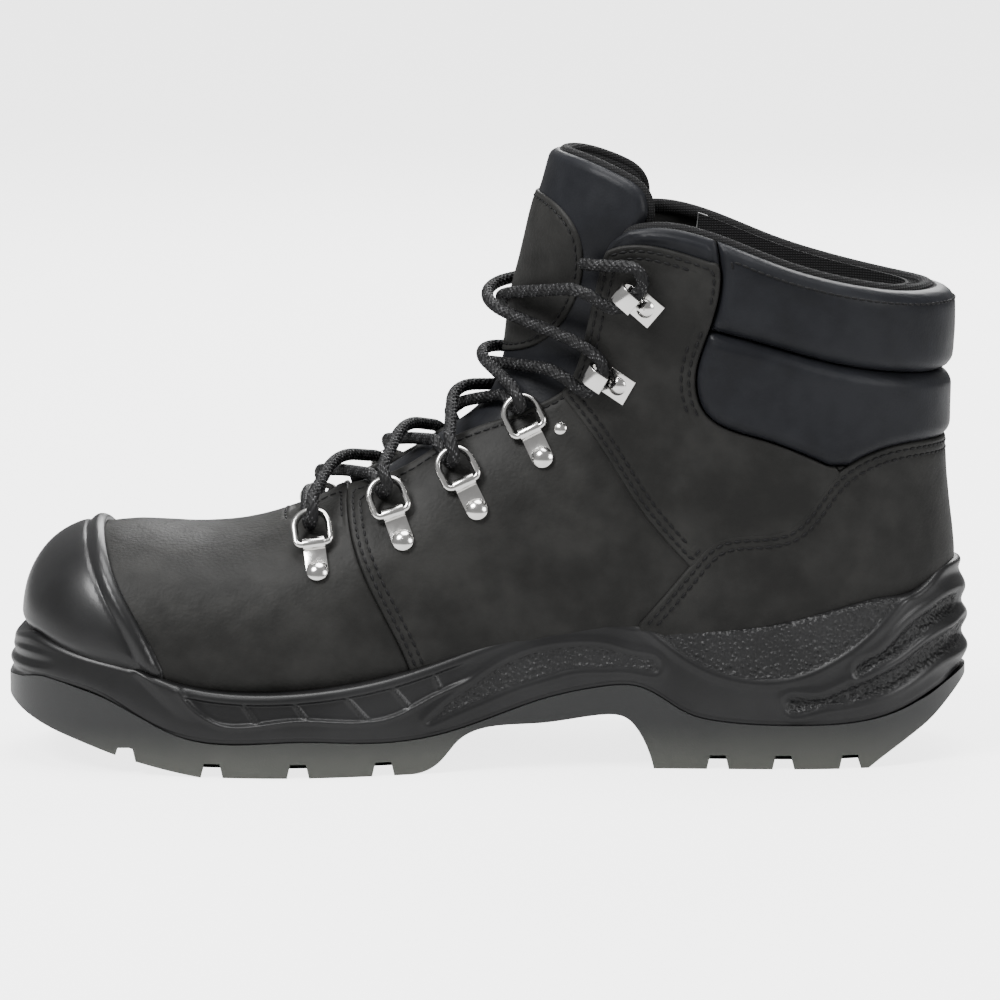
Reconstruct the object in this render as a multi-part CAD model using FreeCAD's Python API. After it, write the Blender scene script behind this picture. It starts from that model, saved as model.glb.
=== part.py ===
"""Steel toe work boot, right foot, 5 inch shaft.

Toe towards -X, heel towards +X, medial side towards -Y, floor at Z = 0.
The upper is a stack of skins between offsets of one closed master surface, and side view
curves divide each skin into its leather pieces.
"""
import FreeCAD, Part
import math
import os

V = FreeCAD.Vector

# ---------------------------------------------------------------- driving dimensions (mm)
BOOT_LENGTH = 311.0      # over the sole, toe to heel
BOOT_HEIGHT = 196.0      # floor to the top of the tongue
BALL_WIDTH = 112.0       # across the sole at the ball

LEATHER = 2.0            # vamp and quarter hide
LAP = 1.2                # step of the quarter over the vamp
OVERLAY = 1.4            # ankle panel and counter cover
PACKING = 2.0            # layer between hide and lining
LINING = 1.2
COLLAR_FOAM = 7.0        # extra padding at the collar
COLLAR_HIDE = 1.3
PUFF = 2.4               # how far the padded collar stands proud
SCUFF_WALL = 2.5         # moulded toe bumper
BEAD_HEIGHT = 1.7        # rib along the rear edge of the bumper
STEEL_CAP = 1.9
COUNTER_WALL = 1.6
BOARD = 3.0              # lasting board
FOOTBED = 6.0
SHANK_WIDTH = 15.0
SHANK_THICK = 1.2
LASTING_MARGIN = 14.0    # hide turned in under the board

TREAD_DEPTH = 4.5
TREAD_GAP = 5.0
RIB = 1.2                # relief of the midsole ribs

TONGUE_GAP = 0.6         # between quarter and tongue
TONGUE_HIDE = 1.5
TONGUE_FOAM = 5.5
PATCH = 0.8
GUSSET = 0.8

RING_WIRE = 2.2          # diameter of the D-ring wire
RING_HALF_WIDTH = 5.6    # to the wire's centre line
RING_DEPTH = 12.0        # bar to bow, centre lines
RING_CORNER = 2.0
BAR_CLEARANCE = 0.05     # radial, between bar and folded clip
CLIP_SHEET = 0.9
CLIP_WIDTH = 7.0
RIVET_TO_BAR = 9.5
RIVET_HEAD = 7.0         # diameter
RIVET_RISE = 1.5
SHANK_DIA = 3.0
HOOK_SHEET = 1.2
HOOK_WIDTH = 6.0
HOOK_PLATE = 9.0
HOOK_THROAT = 6.2        # inside height of the hook
SEAT = 0.5               # how deep the hardware beds into the hide
STEM_SHORT = 0.8         # rivet stems end this far inside the hide
GLUE = 0.1               # glue line between stacked layers
LACE = 4.0               # diameter

KX = BOOT_LENGTH / 311.0
KY = BALL_WIDTH / 112.0
KZ = BOOT_HEIGHT / 196.0

# ---------------------------------------------------------------- master surface
# sole or back point, ridge point, half width medial and lateral,
# share of the height where it is widest, roundness below and above
STATIONS = [
    ((-149.0, 41), (-149.0, 49), 6, 5, .50, 2.0, 2.0),
    ((-147.0, 33), (-147.0, 57), 18, 17, .50, 2.2, 2.0),
    ((-142.0, 27), (-142.0, 65), 28, 27, .45, 2.4, 2.0),
    ((-133.0, 23), (-133.0, 71), 38, 38, .40, 2.6, 2.1),
    ((-118.0, 19.5), (-118.0, 74), 45, 46.5, .36, 3.0, 2.2),
    ((-98.0, 17), (-98.0, 73.5), 48.5, 51.5, .34, 3.2, 2.2),
    ((-74.0, 16), (-75.0, 75.5), 49.5, 54, .32, 3.2, 2.1),
    ((-48.0, 16), (-50.0, 85), 47, 53, .30, 3.2, 2.0),
    ((-20.0, 18), (-30.0, 97), 43, 49, .30, 3.0, 2.0),
    ((12.0, 23), (-13.0, 108), 39.5, 44.5, .32, 3.0, 2.0),
    ((48.0, 28), (-2.0, 118), 37.5, 40.5, .34, 2.8, 1.9),
    ((90.0, 27), (1.5, 127), 37, 38, .36, 2.6, 1.9),
    ((129.0, 29), (3.5, 136), 36.5, 37, .38, 2.4, 1.9),
    ((147.5, 52), (4.5, 145), 37, 37, .42, 2.2, 1.9),
    ((147.0, 82), (6.5, 155), 38.5, 38.5, .45, 2.2, 2.0),
    ((145.5, 110), (9.0, 166), 40, 40, .47, 2.2, 2.1),
    ((146.5, 134), (12.0, 178), 41.5, 41.5, .48, 2.2, 2.2),
    ((146.5, 156), (16.0, 191), 41.5, 41.5, .48, 2.2, 2.2),
    ((146.0, 178), (20.0, 208), 40, 40, .48, 2.2, 2.2),
]
TOE_START = -98.0
TOE_TIP = -149.0
PADDED = [0, 0, 0, 0, 0, 0, 0, 0, 0, 0, 0, .05, .15, .3, .6, .85, 1, 1, .9]
SIDE_POINTS = 6

# ---------------------------------------------------------------- side view curves (x, z)
SOLE_JOINT = [(-157, 45), (-150.8, 43.6), (-136, 34.5), (-123.6, 27.4), (-108, 17), (-95, 11.8),
              (-60, 11.5), (-38, 10.5), (-18.6, 11.8), (-2.7, 16), (16.4, 22.5), (35.5, 26.5),
              (48.3, 26.5), (56.2, 22.5), (64.2, 17.7), (73.8, 15.4), (99.3, 14.1), (121.6, 15.4),
              (137.5, 20.2), (148.5, 27.4), (158, 33)]
FEATHER = [(-157, 54), (-150.3, 50), (-142.5, 43.6), (-129.8, 38.7), (-109.2, 34.5),
           (-99.9, 28.8), (-85.6, 27), (-60, 27), (-28, 31.7), (-2.7, 39.8), (22.8, 46.9),
           (35.5, 47.9), (49.9, 46), (67.4, 45), (86.5, 46), (115, 52.7), (137.2, 60), (158, 72)]
THROAT = [(-64, 78.5), (-60.5, 81), (-46, 88.2), (-28.3, 94.7), (-12.3, 104.4), (3.7, 110.9),
          (18, 117), (23, 120), (27, 126), (30.8, 139.9), (34.9, 159.2), (38.4, 168.5), (44, 173)]
TOPLINE = [(44, 173), (51, 174.2), (66.8, 172), (92, 162.5), (117.5, 155.5), (144.4, 152), (158, 152)]
VAMP_SEAM = [(-45.5, 95), (-45.5, 83), (-36, 56), (-25, 33), (-20, 5)]
PANEL_REAR = [(71.5, 172), (73.2, 157.7), (68.6, 138.6), (65.5, 125.8), (68.7, 114.6),
              (86.2, 106.6), (108.5, 97.6)]
COUNTER_TOP = [(48.3, 46.5), (64.2, 65.7), (73, 74), (95.9, 78), (109, 93), (121, 101), (158, 102.5)]
PUFF_SEAM = [(60, 143.5), (85.9, 137.3), (108.1, 130.9), (143, 125.2), (158, 124)]
MID_SEAM = [(22.7, 119.6), (35.5, 103.4), (48.2, 84.1), (64.2, 65.7)]
BEAD_REAR = [(-127, 84), (-123.7, 72.8), (-117.4, 58.3), (-108, 42.1), (-104, 33.2)]
BEAD_FRONT = [(-131.5, 84), (-128.5, 68), (-122.3, 53.4), (-114.4, 40.5), (-108.5, 34.4)]
PANEL_TOP = [(70.7, 163.4), (60.5, 166.6), (41, 168), (36, 165.5), (32.5, 154), (30.8, 139.9),
             (26.6, 126), (22.7, 119.6)]
COUNTER_INNER = [(72, 45), (76, 60), (92, 80), (120, 89), (158, 90)]
TONGUE_EDGE = [(-64, 62), (-56, 66), (-30, 79), (-5, 90), (15, 101), (30, 116), (38, 140),
               (43, 160), (50, 178)]
TONGUE_TOP = [(50, 178), (49, 184), (40, 190.5), (23, 196), (0, 196)]
LINING_FRONT = [(-70, 20), (-60, 50), (-25, 71), (10, 88), (38, 103), (58, 120), (63, 140),
                (67, 157), (69, 176)]
PATCH_EDGE = [(4, 182), (15.5, 182.6), (27.6, 173), (30.2, 161.8), (26.1, 145.7), (16.5, 134.4),
              (3.7, 130.2), (-12, 130)]
TREAD = [(-157, 36), (-151, 27.4), (-142.8, 18.3), (-130.2, 11.2), (-119, 6.5), (-105, 2.5),
         (-92, 0)]
ARCH = [(-25, 0), (-14.5, 4.7), (-10, 10), (16.4, 15.1), (35.6, 17.5), (43.5, 16.8),
        (48.3, 12), (53, 0)]
HEEL_BEVEL = [(122, 0), (131.2, 6.5), (142.3, 14.4), (150, 22.5), (158, 31)]
TREAD_NOTCHES = [-116, -88, -60.5, -33.5, 73.5, 94.5, 116]

# plan of the sole, anticlockwise from the toe
SOLE_PLAN = [(-155.5, -3), (-149, -27), (-128, -43.5), (-95, -52.5), (-60, -55), (-25, -48.5),
             (15, -40.5), (55, -39), (98, -40.5), (132, -34), (150, -17), (155.5, 0),
             (150, 17), (132, 34), (98, 41), (55, 42), (15, 46.5), (-25, 54), (-60, 57),
             (-95, 54), (-126, 43), (-147, 24)]

# eyelets from the toe up: rivet, then the point that it faces, both in side view
RINGS = [((-54.4, 63.8), (-56.8, 79.9)), ((-27.2, 73.5), (-32.9, 90.2)),
         ((-3.6, 83.1), (-10.6, 98.3)), ((17.4, 99.3), (10.7, 112.7))]
HOOKS = [((41.3, 122.9), (32.4, 127.7)), ((49.8, 148.5), (41.8, 154.9))]
REINFORCING_RIVET = ((23.0, 108.5), (16.0, 112.5))

# the lace, from its end tucked in behind the medial quarter, down one zigzag, across
# the lowest pair of rings and up the other: over and under each bow, round each hook
LACE_ROUTE = [
    (30, -31.5, 162), (32, -36, 162), (46.5, -45.5, 162.5), (49.5, -44.5, 157), (41, -41, 146.5),
    (29, -39.5, 155), (-3, 0, 148.5), (25, 35.5, 136.5), (39, 37, 132.5), (33.5, 33, 120),
    (23, 28, 127.5), (-6.5, 0, 132), (8, -26, 121.5), (10.5, -30, 116.5), (9.25, -20.5, 113.25),
    (5, -15.5, 118), (-8, -1.5, 114), (-13, 34, 105.5), (-11, 36.5, 101), (-12, 30, 96),
    (-16.5, 24.5, 102), (-27.5, 0, 107), (-34, -31, 96.5), (-32, -34, 91), (-34, -25.5, 86.5),
    (-37, -22, 93), (-46.5, 0, 91), (-56, 33, 86), (-55.5, 37, 81), (-57, 30, 76),
    (-57.5, 25, 80.5), (-59, 0, 84.5), (-58.5, -21.5, 81.5), (-57.5, -25.5, 76), (-56, -33, 81.5),
    (-56.5, -29.5, 86.5), (-49.5, 0, 96.5), (-36, 26.5, 91.5), (-34, 30.5, 86), (-32, 38, 91),
    (-34, 35, 96), (-24.5, 0, 101.5), (-16.5, -21.5, 104), (-12.5, -25, 96), (-10.5, -33, 100.5),
    (-12.5, -30.5, 105.5), (-11.5, 0, 119), (5, 16, 117), (8.5, 22, 113), (10.5, 30, 115.5),
    (8, 26, 121.5), (-3, 0, 127), (21, -30, 128), (33, -34, 118.5), (38, -37, 130.5),
    (28, -32, 137), (-11, 0, 149.5), (31.5, 37, 155), (40, 41, 145.5), (50, 44, 157.5),
    (46.5, 45.5, 162.5), (32, 36, 162), (30, 31.5, 162)]


# ---------------------------------------------------------------- curves and prisms
def corners(*points):
    """A chain of straight runs; a list of points is a smooth curve instead."""
    return tuple(points)


def edges_of(chain):
    pts = [V(x * KX, 0, z * KZ) for x, z in chain]
    if isinstance(chain, tuple) or len(pts) == 2:
        return [Part.LineSegment(a, b).toShape() for a, b in zip(pts, pts[1:])]
    spline = Part.BSplineCurve()
    spline.interpolate(pts)
    return [spline.toShape()]


def side_prism(*chains, y0=-90.0, y1=90.0):
    """Extrude the region bounded by the chains, taken head to tail, across the boot."""
    edges = []
    for i, chain in enumerate(chains):
        edges += edges_of(chain)
        following = chains[(i + 1) % len(chains)]
        if chain[-1] != following[0]:
            edges += edges_of(corners(chain[-1], following[0]))
    face = Part.Face(Part.Wire(edges))
    face.translate(V(0, y0, 0))
    return face.extrude(V(0, y1 - y0, 0))


def block(x0, x1, z0=-10.0, z1=220.0, y0=-95.0, y1=95.0):
    return Part.makeBox((x1 - x0) * KX, y1 - y0, (z1 - z0) * KZ, V(x0 * KX, y0, z0 * KZ))


def plan_prism(inset=0.0):
    """Upright prism on the sole's plan, drawn in by the inset."""
    spline = Part.BSplineCurve()
    spline.interpolate([V(x * KX, y * KY, 0) for x, y in SOLE_PLAN], PeriodicFlag=True)
    if inset:
        first, last = spline.FirstParameter, spline.LastParameter
        count = 36
        pts = []
        for i in range(count):
            u = first + (last - first) * i / count
            along = spline.tangent(u)[0]
            pts.append(spline.value(u) + V(-along.y, along.x, 0) * inset)
        spline = Part.BSplineCurve()
        spline.interpolate(pts, PeriodicFlag=True)
    face = Part.Face(Part.Wire([spline.toShape()]))
    return face.extrude(V(0, 0, 120 * KZ))


def largest(shape):
    return max(shape.Solids, key=lambda s: s.Volume)


# ---------------------------------------------------------------- master surface
def section_point(station, d, share, side):
    """Point of a section offset outwards by d; share runs from sole (0) to ridge (1)."""
    (xs, zs), (xr, zr), medial, lateral, widest, low, high = station
    lean = max(0.0, (TOE_START - xs) / (TOE_START - TOE_TIP))
    sole = V(xs * KX - lean * d, 0, zs * KZ)
    up = V(xr * KX - lean * d, 0, zr * KZ) - sole
    height = up.Length + 2 * d
    up.normalize()
    half = (medial if side < 0 else lateral) * KY + d
    c = math.cos(math.pi * share)
    s = max(0.0, math.sin(math.pi * share))
    if c > 0:
        rise = widest * (1 - c ** (2 / low))
        y = half * s ** (2 / low)
    else:
        rise = widest + (1 - widest) * (-c) ** (2 / high)
        y = half * s ** (2 / high)
    return sole + up * (rise * height - d) + V(0, side * y, 0)


def section(station, offset, pad):
    """Closed section curve; the pad thickens the wall at the back and fades to the front."""
    def point(share, side):
        base = section_point(station, offset, share, side)
        if pad == 0:
            return base
        fade = min(1.0, max(0.0, (0.72 - share) / 0.3))
        fade = fade * fade * (3 - 2 * fade)
        deep = section_point(station, offset - pad, share, side)
        return base + (deep - base) * fade

    shares = [i / SIDE_POINTS for i in range(SIDE_POINTS + 1)]
    pts = [point(s, -1) for s in shares]
    pts += [point(s, 1) for s in reversed(shares[1:-1])]
    spline = Part.BSplineCurve()
    spline.interpolate(Points=pts, PeriodicFlag=True,
                       Parameters=[i / len(pts) for i in range(len(pts) + 1)])
    return spline


FORMS = {}


def form(offset, padded=False):
    """Closed solid inside the master surface offset outwards by `offset`."""
    key = (round(offset, 3), padded)
    if key in FORMS:
        return FORMS[key]
    curves = [section(s, offset, COLLAR_FOAM * p if padded else 0.0)
              for s, p in zip(STATIONS, PADDED)]
    surface = Part.BSplineSurface()
    surface.buildFromNSections(curves)
    faces = [surface.toShape()]
    for c in (curves[0], curves[-1]):
        faces.append(Part.Face(Part.Wire([c.toShape()])))
    solid = Part.Solid(Part.Shell(faces))
    if solid.Volume < 0:
        solid.reverse()
    FORMS[key] = solid
    return solid


def layer(outer, inner, area, padded=False):
    """One piece of a skin: the master solid at `outer` less that at `inner`, in an area."""
    return form(outer).common(area).cut(form(inner, padded))


def surface_frame(offset, rivet, facing, side):
    """Point, outward normal and facing direction on the master surface."""
    x, z = rivet[0] * KX, rivet[1] * KZ
    fx, fz = facing[0] * KX, facing[1] * KZ
    probe = Part.LineSegment(V(x, side * 120 * KY, z), V(x, side * 2, z)).toShape()
    inside = probe.common(form(offset))
    point = max((v.Point for v in inside.Vertexes), key=lambda p: abs(p.y))
    surface = form(offset).Faces[0].Surface
    normal = surface.normal(*surface.parameter(point))
    if normal.y * side < 0:
        normal = normal * -1
    ahead = V(fx - x, 0, fz - z)
    ahead = ahead - normal * ahead.dot(normal)
    ahead.normalize()
    return point - normal * SEAT, normal, ahead


def placed(shape, frame):
    """Move a shape drawn with X ahead and Z along the normal onto its frame."""
    point, normal, ahead = frame
    across = normal.cross(ahead)
    matrix = FreeCAD.Matrix(ahead.x, across.x, normal.x, point.x,
                            ahead.y, across.y, normal.y, point.y,
                            ahead.z, across.z, normal.z, point.z,
                            0, 0, 0, 1)
    moved = shape.copy()
    moved.Placement = FreeCAD.Placement(matrix).multiply(shape.Placement)
    return moved


# ---------------------------------------------------------------- areas in side view
def below_feather():
    return side_prism(FEATHER, corners((158, 72), (158, -10), (-157, -10), (-157, 54)))


def below_topline():
    return side_prism(TOPLINE, corners((158, 152), (158, -10), (-170, -10), (-170, 173), (44, 173)))


def vamp_area():
    return side_prism(VAMP_SEAM, corners((-20, 5), (-170, 5), (-170, 100), (-45.5, 100), (-45.5, 95)))


def quarter_area():
    return side_prism(PANEL_REAR, corners((108.5, 97.6), (158, 97.6), (158, 5), (-20, 5)),
                      VAMP_SEAM[::-1], corners((-45.5, 95), (-45.5, 180), (71.5, 180), (71.5, 172)))


def throat_opening():
    return side_prism(THROAT, corners((44, 173), (44, 215), (-64, 215), (-64, 78.5)))


def counter_area():
    area = side_prism(COUNTER_TOP, corners((158, 102.5), (158, 20), (48.3, 20), (48.3, 46.5)))
    return area.cut(below_feather())


def panel_area():
    area = side_prism(MID_SEAM, corners((64.2, 65.7), (64.2, 55), (112, 55), (112, 163.4), (70.7, 163.4)),
                      PANEL_TOP)
    return area.common(quarter_area()).cut(counter_area())


def collar_area(upper):
    if upper:
        area = side_prism(PUFF_SEAM, corners((158, 124), (158, 152)), TOPLINE[::-1],
                          corners((44, 173), (44, 143.5), (60, 143.5)))
        return area.cut(quarter_area())
    area = side_prism(PUFF_SEAM[::-1], corners((60, 143.5), (60, 90), (158, 90), (158, 124)))
    return area.cut(quarter_area()).cut(counter_area())


def heel_area():
    return side_prism(COUNTER_INNER, corners((158, 90), (158, 5), (72, 5), (72, 45)))


def sole_line(rise):
    pts = [(x, z + rise / KZ) for (x, z), *rest in STATIONS[3:13]]
    return [(-160, pts[0][1] + 9)] + pts + [(146, pts[-1][1] + 4), (165, pts[-1][1] + 12)]


def under(rise):
    """Everything lower than a height above the bottom of the last."""
    line = sole_line(rise)
    return side_prism(line, corners(line[-1], (165, -15), (-160, -15), line[0]))


def half_space(side):
    return block(-200, 200, y0=min(0, side * 100), y1=max(0, side * 100))


# ---------------------------------------------------------------- sole unit
def less_last(body):
    """Cut away what the lasted upper fills inside the sole unit."""
    rear = form(LAP + GLUE).common(side_prism(VAMP_SEAM, corners((-20, 5), (170, 5), (170, 95), (-45.5, 95))))
    return body.cut(form(GLUE)).cut(rear)


def tread_notches():
    """Open notches of draughted section along the sole's edge."""
    half = TREAD_GAP / 2
    notches = []
    for x in TREAD_NOTCHES:
        rise = 4.5 * KZ if x < -100 else 0.0
        pts = [(-half - 1, -30), (half + 1, -30), (half + 1, 0), (half, TREAD_DEPTH),
               (-half, TREAD_DEPTH), (-half - 1, 0), (-half - 1, -30)]
        wire = Part.makePolygon([V(x * KX + px, -90, pz + rise) for px, pz in pts])
        notches.append(Part.Face(wire).extrude(V(0, 180, 0)))
    return Part.makeCompound(notches).common(plan_prism().cut(plan_prism(16.0)))


def tread_chevrons():
    """Slanted bars cut into the middle of the forefoot and heel."""
    bars = []
    for start, stop in ((-128, -28), (60, 122)):
        for i in range(int((stop - start) / 15.5) + 1):
            x = start + 15.5 * i
            rise = 5.0 * KZ if x < -104 else 0.0
            for turn in (-62, 62):
                bar = Part.makeBox(34, TREAD_GAP, 40, V(3, -TREAD_GAP / 2, TREAD_DEPTH - 40))
                bar.rotate(V(0, 0, 0), V(0, 0, 1), turn)
                bar.translate(V(x * KX, 0, rise))
                bars.append(bar)
    inner = plan_prism(18.0)
    inner.translate(V(0, 0, -20))
    return Part.makeCompound(bars).common(inner)


def outsole():
    area = side_prism(SOLE_JOINT, corners((158, 33), (158, 31)), HEEL_BEVEL[::-1],
                      ARCH[::-1], TREAD[::-1])
    body = less_last(area.common(plan_prism()))
    return largest(body.cut(tread_notches()).cut(tread_chevrons()))


def band(line, drop, x0, x1):
    """Strip of the given height under a side view curve, between two x."""
    lower = [(x, z - drop) for x, z in line]
    return side_prism(line, lower[::-1]).common(block(x0, x1))


def midsole():
    area = side_prism(FEATHER, SOLE_JOINT[::-1])
    ribs = band(FEATHER, 6.5, -157, 157)
    ribs = ribs.fuse(band([(x, z + 3) for x, z in SOLE_JOINT], 3, -157, 157))
    slats = band(FEATHER, 14, -112, -22)
    for i in range(5):
        x = (-112 + 17 * i) * KX
        bar = Part.makeBox(2.2, 180, 60, V(x, -90, 0))
        bar.rotate(V(x, 0, 0), V(0, 1, 0), 38)
        ribs = ribs.fuse(bar.common(slats))
    shelf = plan_prism().cut(plan_prism(RIB + 0.5))
    body = area.common(plan_prism(RIB)).fuse(ribs.common(shelf).common(area))
    return largest(less_last(body))


def toe_scuff_cap():
    """Bumper over the toe with a rib along its rear edge."""
    skirt = [(-104, 33.2), (-109.2, 34.5), (-129.8, 38.7), (-142.5, 43.6), (-150.3, 50), (-165, 56)]
    area = side_prism(BEAD_REAR, skirt, corners((-165, 56), (-165, 95), (-127, 95), (-127, 84)))
    rim = side_prism(BEAD_REAR, BEAD_FRONT[::-1])
    area = area.cut(below_feather())
    wall = layer(SCUFF_WALL, GLUE, area)
    bead = layer(SCUFF_WALL + BEAD_HEIGHT, GLUE, rim.cut(below_feather()))
    return largest(wall.fuse(bead))


# ---------------------------------------------------------------- bottom of the upper
def margin_hole():
    return plan_prism(LASTING_MARGIN + 5.0).common(under(LEATHER + 6))


def build_bottom(nodes):
    board_top = LEATHER + BOARD
    nodes["lasting_board"] = largest(form(-LEATHER - GLUE).common(under(board_top)))
    inside = form(-LEATHER - PACKING - LINING - GLUE, True)
    nodes["footbed"] = largest(inside.common(under(board_top + FOOTBED)).cut(under(board_top + GLUE)))
    low = 0.3
    strip = block(-40, 80, z1=60, y0=-SHANK_WIDTH / 2, y1=SHANK_WIDTH / 2)
    nodes["shank"] = largest(layer(-low, -low - SHANK_THICK, strip))
    slot = block(-40.2, 80.2, z1=60, y0=-SHANK_WIDTH / 2 - GLUE, y1=SHANK_WIDTH / 2 + GLUE)
    hole = plan_prism(LASTING_MARGIN + 5.2).common(under(LEATHER + 6))
    nodes["bottom_filler"] = largest(layer(-GLUE, -LEATHER, hole.cut(slot)))


# ---------------------------------------------------------------- leather pieces
def build_upper(nodes):
    opening = throat_opening().fuse(margin_hole())
    vamp = layer(0, -LEATHER, vamp_area()).cut(opening)
    nodes["vamp"] = largest(vamp)
    quarters = layer(LAP, -LEATHER, quarter_area().common(below_topline())).cut(opening)
    panels = layer(LAP + OVERLAY, LAP + GLUE, panel_area()).cut(throat_opening())
    for side, name in ((-1, "medial"), (1, "lateral")):
        nodes["quarter_" + name] = largest(quarters.common(half_space(side)))
        nodes["ankle_panel_" + name] = largest(panels.common(half_space(side)))
    nodes["heel_counter_cover"] = largest(layer(LAP + OVERLAY, LAP + GLUE, counter_area()))
    proud = LAP + PUFF
    for part, area in (("upper", collar_area(True)), ("lower", collar_area(False))):
        cover = layer(proud, proud - COLLAR_HIDE, area)
        foam = layer(proud - COLLAR_HIDE - GLUE, -LEATHER - PACKING + GLUE, area, True)
        nodes["collar_%s_cover" % part] = largest(cover)
        nodes["collar_%s_foam" % part] = largest(foam)


def build_lining(nodes):
    bottom = under(LEATHER + BOARD + GLUE)
    toe = block(-175, -97)
    front = block(-175, -72)
    instep = block(-96.8, -72)
    rear = side_prism(LINING_FRONT, corners((69, 176), (158, 176), (158, 5), (-70, 5), (-70, 20)))
    rear = rear.common(below_topline())
    hide = -LEATHER - GLUE
    back = -LEATHER - PACKING
    nodes["steel_toe_cap"] = largest(layer(hide, hide - STEEL_CAP, toe.cut(bottom)))
    nodes["heel_counter_stiffener"] = largest(layer(hide, hide - COUNTER_WALL, heel_area().cut(bottom)))
    nodes["vamp_interlining"] = largest(layer(hide, back + GLUE, instep.cut(bottom)))
    middle = rear.cut(heel_area()).cut(collar_area(True)).cut(collar_area(False)).cut(bottom)
    nodes["quarter_interlining"] = largest(layer(hide, back + GLUE, middle, True))
    skin = form(back - GLUE, True)
    inner = form(back - LINING, True)
    nodes["vamp_lining"] = largest(skin.common(front.cut(bottom)).cut(inner))
    nodes["shaft_lining"] = largest(skin.common(rear.cut(bottom)).cut(inner))


def build_tongue(nodes):
    area = side_prism(TONGUE_EDGE, TONGUE_TOP, corners((0, 196), (-70, 196), (-70, 62), (-64, 62)))
    d0 = -LEATHER - TONGUE_GAP
    d1 = d0 - TONGUE_HIDE
    d2 = d1 - TONGUE_FOAM
    layers = (("tongue_leather", d0, d1), ("tongue_foam", d1 - GLUE, d2),
              ("tongue_lining", d2 - GLUE, d2 - LINING))
    for name, outer, inner in layers:
        nodes[name] = largest(layer(outer, inner, area))
    patch = side_prism(PATCH_EDGE, corners((-12, 130), (-12, 182), (4, 182)))
    nodes["tongue_patch"] = largest(layer(d0 + PATCH, d0 + GLUE / 2, patch))
    lower = [(x + 1.5, z - 1.5) for x, z in TONGUE_EDGE[1:8]]
    upper = [(x - 1.5, z + 1.5) for x, z in LINING_FRONT[2:8]]
    strip = side_prism(lower, upper[::-1])
    fold = layer(-LEATHER - GLUE, -LEATHER - GLUE - GUSSET, strip)
    for side, name in ((-1, "medial"), (1, "lateral")):
        nodes["gusset_" + name] = largest(fold.common(half_space(side)))


# ---------------------------------------------------------------- eyelet hardware
def ring_solid():
    """D-ring in the XY plane, its bar along Y through the origin and the bow towards +X."""
    h = RING_HALF_WIDTH
    c = RING_CORNER
    a = RING_DEPTH - h
    d = c * math.sqrt(0.5)
    path = [
        Part.LineSegment(V(0, -h + c, 0), V(0, h - c, 0)),
        Part.Arc(V(0, h - c, 0), V(c - d, h - c + d, 0), V(c, h, 0)),
        Part.LineSegment(V(c, h, 0), V(a, h, 0)),
        Part.Arc(V(a, h, 0), V(a + h, 0, 0), V(a, -h, 0)),
        Part.LineSegment(V(a, -h, 0), V(c, -h, 0)),
        Part.Arc(V(c, -h, 0), V(c - d, -h + c - d, 0), V(0, -h + c, 0)),
    ]
    wire = Part.Wire([p.toShape() for p in path])
    profile = Part.Wire([Part.makeCircle(RING_WIRE / 2, V(0, -h + c, 0), V(0, 1, 0))])
    return wire.makePipeShell([profile], True, True)


def bar_height():
    return RING_WIRE / 2 + BAR_CLEARANCE + CLIP_SHEET


def rivet_solid(sheet, head, depth):
    """Domed rivet: its head on the sheet, its stem through the hide below."""
    radius = (head * head / 4 + RIVET_RISE * RIVET_RISE) / (2 * RIVET_RISE)
    ball = Part.makeSphere(radius, V(0, 0, sheet + RIVET_RISE - radius))
    slab = Part.makeCylinder(head, RIVET_RISE + 1, V(0, 0, sheet))
    stem = Part.makeCylinder(SHANK_DIA / 2, depth + sheet - STEM_SHORT, V(0, 0, STEM_SHORT - depth))
    return ball.common(slab).fuse(stem)


def clip_solid(depth):
    """Folded clip with its rivet; the rivet stands on the origin, the fold at +X."""
    bore = RING_WIRE / 2 + BAR_CLEARANCE
    w = CLIP_WIDTH
    z = bar_height()
    along = V(0, 1, 0)
    loop = Part.makeCylinder(bore + CLIP_SHEET, w, V(RIVET_TO_BAR, -w / 2, z), along)
    hole = Part.makeCylinder(bore, w + 2, V(RIVET_TO_BAR, -w / 2 - 1, z), along)
    sheet = Part.makeBox(RIVET_TO_BAR, w, 2 * CLIP_SHEET, V(0, -w / 2, 0))
    tail = Part.makeCylinder(w / 2, 2 * CLIP_SHEET)
    rivet = rivet_solid(2 * CLIP_SHEET, RIVET_HEAD, depth)
    return sheet.fuse(tail).fuse(loop).cut(hole).fuse(rivet).removeSplitter()


def hook_solid(depth):
    """Speed hook: plate with its rivet, and a hook that opens back over the plate."""
    inner = HOOK_THROAT / 2
    outer = inner + HOOK_SHEET
    reach = HOOK_PLATE / 2 + 2.0
    w = HOOK_WIDTH
    along = V(0, 1, 0)
    plate = Part.makeBox(HOOK_PLATE, HOOK_PLATE, HOOK_SHEET, V(-HOOK_PLATE / 2, -HOOK_PLATE / 2, 0))
    neck = Part.makeBox(reach, w, HOOK_SHEET, V(0, -w / 2, 0))
    bend = Part.makeCylinder(outer, w, V(reach, -w / 2, outer), along)
    bend = bend.cut(Part.makeCylinder(inner, w, V(reach, -w / 2, outer), along))
    bend = bend.common(Part.makeBox(outer + 1, w, 2 * outer, V(reach, -w / 2, 0)))
    lip = Part.makeBox(4.0, w, HOOK_SHEET, V(reach - 4.0, -w / 2, 2 * outer - HOOK_SHEET))
    rivet = rivet_solid(HOOK_SHEET, HOOK_PLATE * 0.66, depth)
    return plate.fuse(neck).fuse(bend).fuse(lip).fuse(rivet).removeSplitter()


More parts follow.
